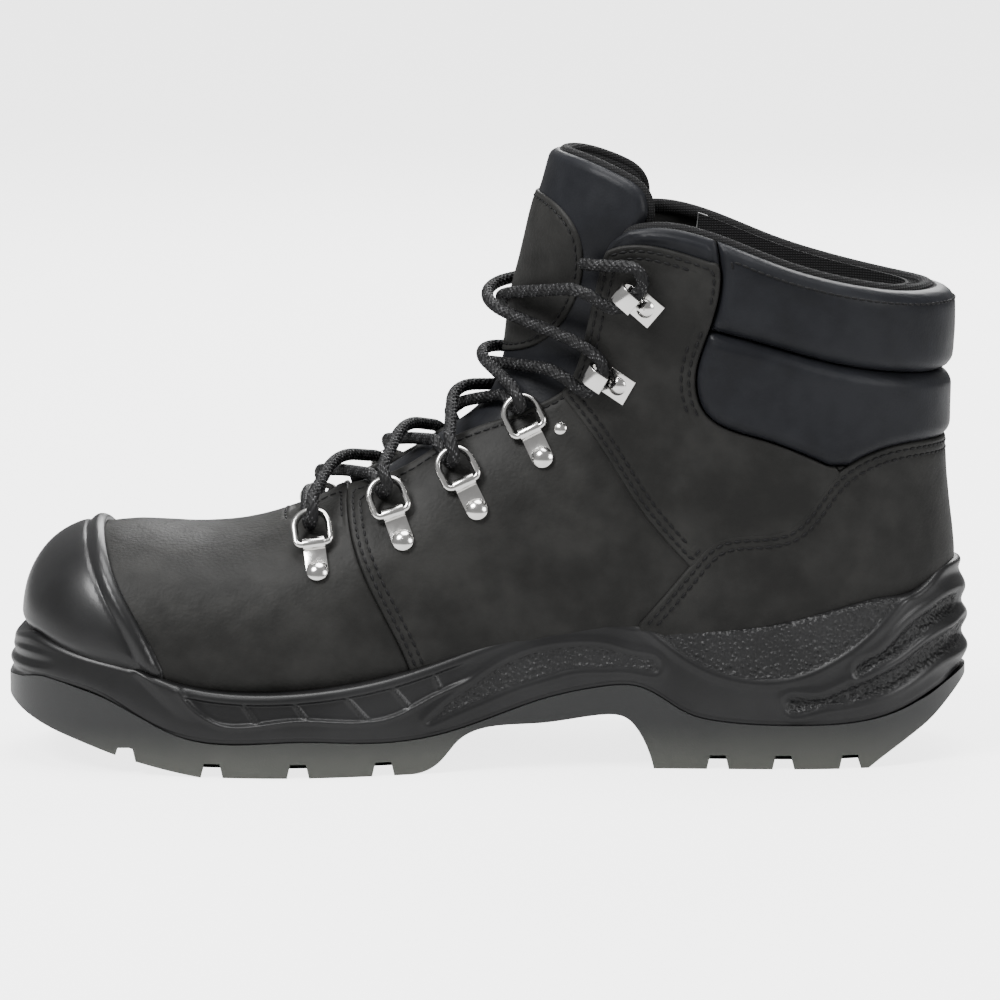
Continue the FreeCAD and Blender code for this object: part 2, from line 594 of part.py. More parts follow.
def build_hardware(nodes):
    """Seat every clip, ring and hook; bed the hide pieces under them."""
    ring = ring_solid()
    ring.translate(V(RIVET_TO_BAR, 0, bar_height()))
    pivots = []
    for side, name in ((-1, "medial"), (1, "lateral")):
        for i, (rivet, facing) in enumerate(RINGS):
            hide = "vamp" if i == 0 else "quarter_" + name
            rise = 0 if i == 0 else LAP
            frame = surface_frame(rise, rivet, facing, side)
            clip = placed(clip_solid(LEATHER + rise - SEAT), frame)
            nodes["ring_clip_%s_%d" % (name, i + 1)] = clip
            nodes["d_ring_%s_%d" % (name, i + 1)] = placed(ring, frame)
            nodes[hide] = largest(nodes[hide].cut(clip))
            point, normal, ahead = frame
            pivot = point + ahead * RIVET_TO_BAR + normal * bar_height()
            pivots.append((name, i + 1, pivot, normal.cross(ahead)))
        for i, (rivet, facing) in enumerate(HOOKS):
            frame = surface_frame(LAP + OVERLAY, rivet, facing, side)
            hook = placed(hook_solid(LEATHER + LAP + OVERLAY - SEAT), frame)
            nodes["speed_hook_%s_%d" % (name, i + 1)] = hook
            for hide in ("quarter_" + name, "ankle_panel_" + name):
                nodes[hide] = largest(nodes[hide].cut(hook))
        frame = surface_frame(LAP, *REINFORCING_RIVET, side)
        rivet = placed(rivet_solid(0, RIVET_HEAD * 0.8, LEATHER + LAP - SEAT), frame)
        nodes["reinforcing_rivet_" + name] = rivet
        nodes["quarter_" + name] = largest(nodes["quarter_" + name].cut(rivet))
    return pivots


def lace():
    """The lace along its route: straight runs joined by tangent arcs."""
    pts = [V(x * KX, y * KY, z * KZ) for x, y, z in LACE_ROUTE]
    edges = []
    radii = []
    start = pts[0]
    for a, b, c in zip(pts, pts[1:], pts[2:]):
        along, onward = b - a, c - b
        cut = 0.45 * min(along.Length, onward.Length)
        along.normalize()
        onward.normalize()
        half = along.getAngle(onward) / 2
        radius = cut / math.tan(half)
        p, q = b - along * cut, b + onward * cut
        to_corner = b - (p + q) * 0.5
        to_corner.normalize()
        apex = b - to_corner * (radius / math.cos(half) - radius)
        edges.append(Part.LineSegment(start, p).toShape())
        edges.append(Part.Arc(p, apex, q).toShape())
        radii.append(radius)
        start = q
    edges.append(Part.LineSegment(start, pts[-1]).toShape())
    wire = Part.Wire(edges)
    profile = Part.Wire([Part.makeCircle(LACE / 2, pts[0], pts[1] - pts[0])])
    tube = wire.makePipeShell([profile], True, True)
    print("lace length %.0f  volume %.0f of %.0f" % (wire.Length, tube.Volume,
                                                   wire.Length * math.pi * LACE ** 2 / 4))
    print("lace bend radii " + " ".join("%.1f" % r for r in radii))
    return tube


# ---------------------------------------------------------------- assembly
def main():
    os.makedirs("parts", exist_ok=True)
    nodes = {"outsole": outsole(), "midsole": midsole(), "toe_scuff_cap": toe_scuff_cap()}
    build_bottom(nodes)
    build_upper(nodes)
    build_lining(nodes)
    build_tongue(nodes)
    pivots = build_hardware(nodes)
    nodes["lace"] = lace()
    for name, shape in sorted(nodes.items()):
        shape.exportStep("parts/%s.step" % name)
        print("%-26s %10.1f mm3  valid %s" % (name, shape.Volume, shape.isValid()))
    for name, i, pivot, axis in pivots:
        print("pivot %s %d  (%.3f %.3f %.3f)  axis (%.5f %.5f %.5f)"
              % (name, i, pivot.x, pivot.y, pivot.z, axis.x, axis.y, axis.z))


main()
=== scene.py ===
"""Looks of the steel toe work boot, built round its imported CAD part.

The upper is cut from one dense grid on the boot's master surface: each piece is the part of
the grid inside its side view outline, given thickness, rounded edges and seams.
"""
import math

import bpy
import numpy as np
from mathutils import Matrix, Vector


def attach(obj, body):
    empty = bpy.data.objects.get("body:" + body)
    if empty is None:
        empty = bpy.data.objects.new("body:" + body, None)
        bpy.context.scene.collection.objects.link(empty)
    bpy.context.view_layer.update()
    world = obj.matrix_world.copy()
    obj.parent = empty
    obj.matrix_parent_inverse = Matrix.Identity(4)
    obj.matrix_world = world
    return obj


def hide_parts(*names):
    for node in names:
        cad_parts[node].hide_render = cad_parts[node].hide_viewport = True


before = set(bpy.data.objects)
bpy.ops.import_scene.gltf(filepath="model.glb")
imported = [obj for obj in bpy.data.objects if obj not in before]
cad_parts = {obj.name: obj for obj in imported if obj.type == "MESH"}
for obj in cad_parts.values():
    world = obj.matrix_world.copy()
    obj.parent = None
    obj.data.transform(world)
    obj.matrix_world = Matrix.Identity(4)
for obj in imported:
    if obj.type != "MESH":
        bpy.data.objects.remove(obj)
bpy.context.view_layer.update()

MM = 0.001
RNG = np.random.default_rng(11)

# ---------------------------------------------------------------- sizes shared with the CAD (mm)
LEATHER, LAP, OVERLAY, PUFF = 2.0, 1.2, 1.4, 2.4
SCUFF_WALL, BEAD_HEIGHT = 2.5, 1.7
TONGUE_OUT, TONGUE_THICK = -2.6, 8.2
RING_WIRE, RING_HALF_WIDTH, RING_DEPTH, RING_CORNER = 2.2, 5.6, 12.0, 2.0
CLIP_SHEET, CLIP_WIDTH, RIVET_TO_BAR, RIVET_RISE = 0.9, 7.0, 9.5, 1.5
HOOK_SHEET, HOOK_WIDTH, HOOK_PLATE, HOOK_THROAT = 1.2, 6.0, 9.0, 6.2
SEAT, LACE = 0.5, 4.0

# sole or back point, ridge point, half width medial and lateral,
# share of the height where it is widest, roundness below and above
STATIONS = [
    ((-149.0, 41), (-149.0, 49), 6, 5, .50, 2.0, 2.0),
    ((-147.0, 33), (-147.0, 57), 18, 17, .50, 2.2, 2.0),
    ((-142.0, 27), (-142.0, 65), 28, 27, .45, 2.4, 2.0),
    ((-133.0, 23), (-133.0, 71), 38, 38, .40, 2.6, 2.1),
    ((-118.0, 19.5), (-118.0, 74), 45, 46.5, .36, 3.0, 2.2),
    ((-98.0, 17), (-98.0, 73.5), 48.5, 51.5, .34, 3.2, 2.2),
    ((-74.0, 16), (-75.0, 75.5), 49.5, 54, .32, 3.2, 2.1),
    ((-48.0, 16), (-50.0, 85), 47, 53, .30, 3.2, 2.0),
    ((-20.0, 18), (-30.0, 97), 43, 49, .30, 3.0, 2.0),
    ((12.0, 23), (-13.0, 108), 39.5, 44.5, .32, 3.0, 2.0),
    ((48.0, 28), (-2.0, 118), 37.5, 40.5, .34, 2.8, 1.9),
    ((90.0, 27), (1.5, 127), 37, 38, .36, 2.6, 1.9),
    ((129.0, 29), (3.5, 136), 36.5, 37, .38, 2.4, 1.9),
    ((147.5, 52), (4.5, 145), 37, 37, .42, 2.2, 1.9),
    ((147.0, 82), (6.5, 155), 38.5, 38.5, .45, 2.2, 2.0),
    ((145.5, 110), (9.0, 166), 40, 40, .47, 2.2, 2.1),
    ((146.5, 134), (12.0, 178), 41.5, 41.5, .48, 2.2, 2.2),
    ((146.5, 156), (16.0, 191), 41.5, 41.5, .48, 2.2, 2.2),
    ((146.0, 178), (20.0, 208), 40, 40, .48, 2.2, 2.2)]
PADDED = [0, 0, 0, 0, 0, 0, 0, 0, 0, 0, 0, .05, .15, .3, .6, .85, 1, 1, .9]
SIDE_POINTS = 6

SOLE_JOINT = [(-157, 45), (-150.8, 43.6), (-136, 34.5), (-123.6, 27.4), (-108, 17), (-95, 11.8),
              (-60, 11.5), (-38, 10.5), (-18.6, 11.8), (-2.7, 16), (16.4, 22.5), (35.5, 26.5),
              (48.3, 26.5), (56.2, 22.5), (64.2, 17.7), (73.8, 15.4), (99.3, 14.1), (121.6, 15.4),
              (137.5, 20.2), (148.5, 27.4), (158, 33)]
FEATHER = [(-157, 39), (-150, 42), (-142, 40.5), (-131, 37.6), (-110, 33), (-99.9, 29.5), (-85.6, 27),
           (-60, 27), (-28, 31.7), (-2.7, 39.8), (22.8, 46.9), (35.5, 47.9), (49.9, 46), (67.4, 45),
           (86.5, 46), (115, 52), (130, 54.5), (137.7, 55.3), (143.6, 58.6), (149.5, 62.3), (157, 63)]
THROAT = [(-64, 78.5), (-60.5, 81), (-46, 88.2), (-28.3, 94.7), (-12.3, 104.4), (3.7, 110.9),
          (18, 117), (23, 120), (27, 126), (30.8, 139.9), (34.9, 159.2), (38.4, 168.5), (44, 173)]
TOPLINE = [(44, 173), (51, 174.2), (66.8, 172), (92, 162.5), (117.5, 155.5), (144.4, 152), (158, 152)]
VAMP_SEAM = [(-45.5, 95), (-45.5, 83), (-36, 56), (-25, 33), (-20, 5)]
PANEL_REAR = [(71.5, 172), (73.2, 157.7), (68.6, 138.6), (65.5, 125.8), (68.7, 114.6),
              (86.2, 106.6), (108.5, 97.6)]
COUNTER_TOP = [(48.3, 46.5), (64.2, 65.7), (73, 74), (95.9, 78), (109, 93), (121, 101), (158, 102.5)]
PUFF_SEAM = [(60, 143.5), (85.9, 137.3), (108.1, 130.9), (143, 125.2), (158, 124)]
MID_SEAM = [(22.7, 119.6), (35.5, 103.4), (48.2, 84.1), (64.2, 65.7)]
BEAD_REAR = [(-127, 84), (-123.7, 72.8), (-117.4, 58.3), (-108, 42.1), (-104, 33.2)]
PANEL_TOP = [(70.7, 163.4), (60.5, 166.6), (41, 168), (36, 165.5), (32.5, 154), (30.8, 139.9),
             (26.6, 126), (22.7, 119.6)]
TONGUE_EDGE = [(-64, 62), (-56, 66), (-30, 79), (-5, 90), (15, 101), (30, 116), (38, 140),
               (43, 160), (50, 178)]
TONGUE_TOP = [(50, 178), (49, 184), (40, 190.5), (23, 196), (0, 196)]
PATCH_EDGE = [(4, 182), (15.5, 182.6), (27.6, 173), (30.2, 161.8), (26.1, 145.7), (16.5, 134.4),
              (3.7, 130.2), (-12, 130)]
SOLE_PLAN = [(-155.5, -3), (-149, -27), (-128, -43.5), (-95, -52.5), (-60, -55), (-25, -48.5),
             (15, -40.5), (55, -39), (98, -40.5), (132, -34), (150, -17), (155.5, 0),
             (150, 17), (132, 34), (98, 41), (55, 42), (15, 46.5), (-25, 54), (-60, 57),
             (-95, 54), (-126, 43), (-147, 24)]
HOOKS = [((41.3, 122.9), (32.4, 127.7)), ((49.8, 148.5), (41.8, 154.9))]
RINGS = [((-54.4, 63.8), (-56.8, 79.9)), ((-27.2, 73.5), (-32.9, 90.2)),
         ((-3.6, 83.1), (-10.6, 98.3)), ((17.4, 99.3), (10.7, 112.7))]
REINFORCING_RIVET = ((23.0, 108.5), (16.0, 112.5))
LACE_ROUTE = [
    (30, -31.5, 162), (32, -36, 162), (46.5, -45.5, 162.5), (49.5, -44.5, 157), (41, -41, 146.5),
    (29, -39.5, 155), (-3, 0, 148.5), (25, 35.5, 136.5), (39, 37, 132.5), (33.5, 33, 120),
    (23, 28, 127.5), (-6.5, 0, 132), (8, -26, 121.5), (10.5, -30, 116.5), (9.25, -20.5, 113.25),
    (5, -15.5, 118), (-8, -1.5, 114), (-13, 34, 105.5), (-11, 36.5, 101), (-12, 30, 96),
    (-16.5, 24.5, 102), (-27.5, 0, 107), (-34, -31, 96.5), (-32, -34, 91), (-34, -25.5, 86.5),
    (-37, -22, 93), (-46.5, 0, 91), (-56, 33, 86), (-55.5, 37, 81), (-57, 30, 76),
    (-57.5, 25, 80.5), (-59, 0, 84.5), (-58.5, -21.5, 81.5), (-57.5, -25.5, 76), (-56, -33, 81.5),
    (-56.5, -29.5, 86.5), (-49.5, 0, 96.5), (-36, 26.5, 91.5), (-34, 30.5, 86), (-32, 38, 91),
    (-34, 35, 96), (-24.5, 0, 101.5), (-16.5, -21.5, 104), (-12.5, -25, 96), (-10.5, -33, 100.5),
    (-12.5, -30.5, 105.5), (-11.5, 0, 119), (5, 16, 117), (8.5, 22, 113), (10.5, 30, 115.5),
    (8, 26, 121.5), (-3, 0, 127), (21, -30, 128), (33, -34, 118.5), (38, -37, 130.5),
    (28, -32, 137), (-11, 0, 149.5), (31.5, 37, 155), (40, 41, 145.5), (50, 44, 157.5),
    (46.5, 45.5, 162.5), (32, 36, 162), (30, 31.5, 162)]


# ---------------------------------------------------------------- curves and outlines
def spline(knots, values, t, closed=False):
    """Cubic spline through values at the knots, evaluated at t."""
    knots, values, t = np.asarray(knots, float), np.asarray(values, float), np.asarray(t, float)
    n = len(knots) - 1
    h = np.diff(knots)
    size = n if closed else n + 1
    a = np.zeros((size, size))
    b = np.zeros((size,) + values.shape[1:])
    slope = (values[1:] - values[:-1]) / h.reshape((-1,) + (1,) * (values.ndim - 1))
    for i in range(size):
        if not closed and i in (0, n):
            a[i, i] = 1
            continue
        before, after = h[i - 1], h[i % n]
        a[i, (i - 1) % size] += before
        a[i, i] += 2 * (before + after)
        a[i, (i + 1) % size] += after
        b[i] = 6 * (slope[i % n] - slope[i - 1])
    m = np.linalg.solve(a, b.reshape(size, -1)).reshape(b.shape)
    if closed:
        m = np.concatenate([m, m[:1]])
    k = np.clip(np.searchsorted(knots, t, side="right") - 1, 0, n - 1)
    shape = (-1,) + (1,) * (values.ndim - 1)
    hk = h[k].reshape(shape)
    u = (t - knots[k]).reshape(shape)
    w = hk - u
    return ((m[k] * w ** 3 + m[k + 1] * u ** 3) / (6 * hk) + (values[k] / hk - m[k] * hk / 6) * w
            + (values[k + 1] / hk - m[k + 1] * hk / 6) * u)


def smooth(points, per=10, closed=False):
    """Dense points on the smooth curve through the given ones."""
    pts = np.array(points, float)
    if closed:
        pts = np.vstack([pts, pts[:1]])
    knots = np.r_[0, np.cumsum(np.linalg.norm(np.diff(pts, axis=0), axis=1))]
    t = np.concatenate([np.linspace(a, b, per, endpoint=False) for a, b in zip(knots, knots[1:])])
    if not closed:
        t = np.r_[t, knots[-1]]
    return spline(knots, pts, t, closed)


def corners(*points):
    """A chain of straight runs; a list of points is a smooth curve instead."""
    return tuple(points)


def outline(*chains):
    """Closed outline from chains taken head to tail."""
    return np.vstack([np.array(c, float) if isinstance(c, tuple) or len(c) == 2 else smooth(c)
                      for c in chains])


def depth_in(poly, x, z):
    """Distance inside an outline; negative outside."""
    best = np.full(x.shape, 1e9)
    inside = np.zeros(x.shape, bool)
    for (ax, az), (bx, bz) in zip(poly, np.roll(poly, -1, axis=0)):
        dx, dz = bx - ax, bz - az
        length = dx * dx + dz * dz
        if length < 1e-12:
            continue
        t = np.clip(((x - ax) * dx + (z - az) * dz) / length, 0, 1)
        best = np.minimum(best, (x - ax - t * dx) ** 2 + (z - az - t * dz) ** 2)
        crosses = (az > z) != (bz > z)
        if dz:
            inside ^= crosses & (x < (bx - ax) * (z - az) / dz + ax)
    best = np.sqrt(best)
    return np.where(inside, best, -best)


def curve_z(curve, x):
    """Height of a side view curve that runs along x."""
    pts = smooth(curve)
    return np.interp(x, pts[:, 0], pts[:, 1])


def ease(x, low, high):
    t = np.clip((x - low) / (high - low), 0, 1)
    return t * t * (3 - 2 * t)


# ---------------------------------------------------------------- master surface
def section_points(station, shares, side):
    (xs, zs), (xr, zr), medial, lateral, widest, low, high = station
    half = medial if side < 0 else lateral
    c, s = np.cos(np.pi * shares), np.maximum(0, np.sin(np.pi * shares))
    rise = np.where(c > 0, widest * (1 - np.abs(c) ** (2 / low)),
                    widest + (1 - widest) * np.abs(c) ** (2 / high))
    y = np.where(c > 0, half * s ** (2 / low), half * s ** (2 / high))
    return np.stack([xs + (xr - xs) * rise, side * y, zs + (zr - zs) * rise], 1)


def master_grid(rows_step, around):
    """Points and normals over the whole surface: rows along the boot, columns round it."""
    shares = np.arange(SIDE_POINTS + 1) / SIDE_POINTS
    rings = []
    for station in STATIONS:
        pts = np.vstack([section_points(station, shares, -1),
                         section_points(station, shares[1:-1][::-1], 1)])
        loop = np.vstack([pts, pts[:1]])
        rings.append(spline(np.arange(len(loop)), loop, np.linspace(0, len(pts), around, False), True))
    rings = np.array(rings)
    gaps = np.linalg.norm(np.diff(rings, axis=0), axis=2)
    knots = np.r_[0, np.cumsum(gaps.mean(1))]
    t = [0.0]
    for a, b, gap in zip(knots, knots[1:], gaps.max(1)):
        count = max(2, int(gap / rows_step))
        t += list(a + (b - a) * np.arange(1, count + 1) / count)
    grid = spline(knots, rings, np.array(t))
    along = np.gradient(grid, axis=0)
    round_ = np.roll(grid, -1, 1) - np.roll(grid, 1, 1)
    normal = np.cross(round_, along)
    normal /= np.linalg.norm(normal, axis=2, keepdims=True) + 1e-9
    centre = grid.mean(1, keepdims=True)
    if ((grid - centre) * normal).sum() < 0:
        normal = -normal
    share = np.arange(around) / around * 2
    share = np.minimum(share, 2 - share)
    pad = np.interp(t, knots, PADDED)[:, None] * ease(0.72 - share, 0, 0.3)[None, :]
    return grid, normal, pad


def grid_faces(rows, cols, closed=True):
    i, j = np.meshgrid(np.arange(rows - 1), np.arange(cols if closed else cols - 1), indexing="ij")
    a, b = i * cols + j, i * cols + (j + 1) % cols
    c, d = a + cols, b + cols
    return np.concatenate([np.stack([a, b, d], -1).reshape(-1, 3),
                           np.stack([a, d, c], -1).reshape(-1, 3)])


GRID, NORMAL, PAD = master_grid(1.5, 264)
POINTS, NORMALS = GRID.reshape(-1, 3), NORMAL.reshape(-1, 3)
FACES = grid_faces(*GRID.shape[:2])
_n = np.cross(POINTS[FACES[:, 1]] - POINTS[FACES[:, 0]], POINTS[FACES[:, 2]] - POINTS[FACES[:, 0]])
if (_n * NORMALS[FACES[:, 0]]).sum() < 0:
    FACES = FACES[:, ::-1]
PADS = np.r_[PAD.ravel(), 0]
_tip = len(POINTS)
POINTS = np.vstack([POINTS, [-149.4, 0.2, 45.0]])
NORMALS = np.vstack([NORMALS, [-1.0, 0, 0]])
_ring = np.arange(GRID.shape[1])
_fan = np.stack([np.full(len(_ring), _tip), _ring, np.roll(_ring, -1)], 1)
_n = np.cross(POINTS[_fan[:, 1]] - POINTS[_tip], POINTS[_fan[:, 2]] - POINTS[_tip])
FACES = np.vstack([FACES, _fan if _n[:, 0].sum() < 0 else _fan[:, ::-1]])


def noise(p, size, seed=0):
    """Smooth lattice noise between -1 and 1."""
    q = np.asarray(p, float) / size + 57.3 * (seed + 1)
    base = np.floor(q).astype(np.int64)
    f = q - base
    f = f * f * (3 - 2 * f)
    total = np.zeros(len(q))
    for corner in range(8):
        step = np.array([corner & 1, corner >> 1 & 1, corner >> 2 & 1])
        c = base + step
        h = (c[:, 0] * 374761393 + c[:, 1] * 668265263 + c[:, 2] * 2147483647 + seed * 144665) & 0xFFFFFFFF
        h = ((h ^ (h >> 13)) * 1274126177) & 0xFFFFFFFF
        value = ((h ^ (h >> 16)) & 0xFFFF) / 32767.5 - 1
        total += value * np.prod(np.where(step == 1, f, 1 - f), axis=1)
    return total


# ---------------------------------------------------------------- meshes
def make_object(name, verts, faces, material=None, smooth_shade=True, uv=None):
    """Mesh object from millimetre points and faces of three or four corners."""
    mesh = bpy.data.meshes.new(name)
    if isinstance(faces, np.ndarray):
        mesh.vertices.add(len(verts))
        mesh.vertices.foreach_set("co", (np.asarray(verts, float) * MM).astype(np.float32).ravel())
        k = faces.shape[1]
        mesh.loops.add(faces.size)
        mesh.loops.foreach_set("vertex_index", faces.astype(np.int32).ravel())
        mesh.polygons.add(len(faces))
        mesh.polygons.foreach_set("loop_start", np.arange(0, faces.size, k, dtype=np.int32))
        mesh.update(calc_edges=True)
        mesh.validate()
    else:
        mesh.from_pydata([tuple(v * MM) for v in np.asarray(verts, float)], [], faces)
    mesh.polygons.foreach_set("use_smooth", [smooth_shade] * len(mesh.polygons))
    obj = bpy.data.objects.new(name, mesh)
    bpy.context.scene.collection.objects.link(obj)
    if material:
        mesh.materials.append(material)
    return obj


def attribute(obj, name, values):
    """Float attribute on the points."""
    layer = obj.data.attributes.new(name, "FLOAT", "POINT")
    layer.data.foreach_set("value", np.asarray(values, np.float32))


def compress(verts, faces):
    used = np.unique(faces)
    index = np.full(len(verts), -1)
    index[used] = np.arange(len(used))
    return verts[used], index[faces]


def split(verts, faces, level):
    """Cut every triangle that a level of the last attribute crosses."""
    f = verts[:, -1] - level
    f = np.where(np.abs(f) < 1e-7, 1e-7, f)
    positive = (f[faces] > 0).sum(1)
    keep = faces[(positive == 0) | (positive == 3)]
    mixed = faces[(positive == 1) | (positive == 2)]
    if not len(mixed):
        return verts, faces
    s = f[mixed] > 0
    lone = np.where((s.sum(1) == 1)[:, None], s, ~s).argmax(1)
    rows = np.arange(len(mixed))
    a, b, c = (mixed[rows, (lone + i) % 3] for i in range(3))
    key = np.sort(np.vstack([np.stack([a, b], 1), np.stack([a, c], 1)]), axis=1)
    edges, where = np.unique(key, axis=0, return_inverse=True)
    where = where.ravel()
    t = f[edges[:, 0]] / (f[edges[:, 0]] - f[edges[:, 1]])
    new = verts[edges[:, 0]] + (verts[edges[:, 1]] - verts[edges[:, 0]]) * t[:, None]
    new[:, -1] = level
    p, q = len(verts) + where[:len(a)], len(verts) + where[len(a):]
    faces = np.vstack([keep, np.stack([a, p, q], 1), np.stack([p, b, c], 1), np.stack([p, c, q], 1)])
    return np.vstack([verts, new]), faces


def boundary(faces):
    """Edges used by one triangle only, in that triangle's direction."""
    edges = np.vstack([faces[:, [0, 1]], faces[:, [1, 2]], faces[:, [2, 0]]])
    key = np.sort(edges, axis=1)
    _, first, count = np.unique(key, axis=0, return_index=True, return_counts=True)
    return edges[first[count == 1]]


def chains(edges):
    """Join directed or undirected edges into runs of vertex numbers."""
    links = {}
    for a, b in edges:
        links.setdefault(int(a), []).append(int(b))
        links.setdefault(int(b), []).append(int(a))
    runs = []
    ends = [v for v, n in links.items() if len(n) == 1]
    for start in ends + list(links):
        if not links.get(start):
            continue
        run = [start]
        while links.get(run[-1]):
            following = links[run[-1]].pop()
            links[following].remove(run[-1])
            run.append(following)
        if len(run) > 2:
            runs.append(run)
    return runs


class Piece:
    """Part of the master surface inside a side view outline."""

    def __init__(self, inside, at, levels=(), side=0):
        verts = np.hstack([POINTS, NORMALS, PADS[:, None], np.zeros((len(POINTS), 1))])
        shifted = POINTS + NORMALS * at
        verts[:, -1] = inside(shifted[:, 0], shifted[:, 2])
        faces = FACES[(verts[FACES, -1] > -4).all(1)]
        if side:
            faces = faces[(POINTS[faces, 1].mean(1) * side) > 0]
        verts, faces = compress(verts, faces)
        self.lines = {}
        for level in (0.0,) + tuple(levels):
            verts, faces = split(verts, faces, level)
            if level == 0.0:
                faces = faces[verts[faces, -1].mean(1) > 0]
        self.verts, self.faces = compress(verts, faces)
        normal = self.verts[:, 3:6]
        self.verts[:, 3:6] = normal / (np.linalg.norm(normal, axis=1, keepdims=True) + 1e-9)
        self.levels = levels

    @property
    def point(self):
        return self.verts[:, :3]

    @property
    def normal(self):
        return self.verts[:, 3:6]

    @property
    def pad(self):
        return self.verts[:, 6]

    @property
    def depth(self):
        return self.verts[:, -1]

    def rounded(self, outer, radius):
        """Outer offset that rolls down over the radius at the edge."""
        t = 1 - np.clip(self.depth / radius, 0, 1)
        return outer - radius * (1 - np.sqrt(np.clip(1 - t * t, 0, 1)))

    def solid(self, name, outer, inner, material, lining=None):
        """Closed solid between two offsets, its back and rim of the lining where one is given."""
        top = self.point + self.normal * np.broadcast_to(outer, len(self.verts))[:, None]
        low = self.point + self.normal * np.broadcast_to(inner, len(self.verts))[:, None]
        n = len(top)
        edge = boundary(self.faces)
        a, b = edge[:, 0], edge[:, 1]
        rim = np.vstack([np.stack([b, a, a + n], 1), np.stack([b, a + n, b + n], 1)])
        faces = np.vstack([self.faces, self.faces[:, ::-1] + n, rim])
        obj = make_object(name, np.vstack([top, low]), faces, material)
        if lining:
            obj.data.materials.append(lining)
            back = np.r_[np.zeros(len(self.faces), int), np.ones(len(faces) - len(self.faces), int)]
            obj.data.polygons.foreach_set("material_index", back)
        attribute(obj, "rim", np.r_[self.depth, np.full(n, -1.0)])
        return obj

    def seam(self, level, where=None):
        """Runs of (vertex numbers) along a level."""
        on = np.abs(self.depth - level) < 1e-6
        f = self.faces
        mean = self.depth[f].mean(1)
        edges = []
        for i, j in ((0, 1), (1, 2), (2, 0)):
            both = on[f[:, i]] & on[f[:, j]] & (mean > level)
            edges.append(f[both][:, [i, j]])
        edges = np.vstack(edges)
        if where is not None:
            ok = where(self.point[:, 0], self.point[:, 2], self.point[:, 1])
            edges = edges[ok[edges].all(1)]
        return chains(edges)


# ---------------------------------------------------------------- stitches
STITCHES = []


def stitch_rows(piece, outer, level, where=None, pitch=3.0, lift=0.12, body="boot"):
    """Collect stitch places along a level of a piece."""
    for run in piece.seam(level, where):
        run = np.array(run)
        pts = piece.point[run] + piece.normal[run] * (np.broadcast_to(outer, len(piece.verts))[run]
                                                      + lift)[:, None]
        s = np.r_[0, np.cumsum(np.linalg.norm(np.diff(pts, axis=0), axis=1))]
        if s[-1] < 2 * pitch:
            continue
        count = int(s[-1] / pitch)
        t = (np.arange(count) + 0.5) * s[-1] / count
        where_at = np.stack([np.interp(t, s, pts[:, i]) for i in range(3)], 1)
        ahead = np.stack([np.interp(t + .6, s, pts[:, i]) - np.interp(t - .6, s, pts[:, i])
                          for i in range(3)], 1)
        up = np.stack([np.interp(t, s, piece.normal[run][:, i]) for i in range(3)], 1)
        STITCHES.append((body, where_at, ahead, up))


def socket_id(tree, name):
    return next(i.identifier for i in tree.interface.items_tree
                if i.item_type == "SOCKET" and i.in_out == "INPUT" and i.name == name)


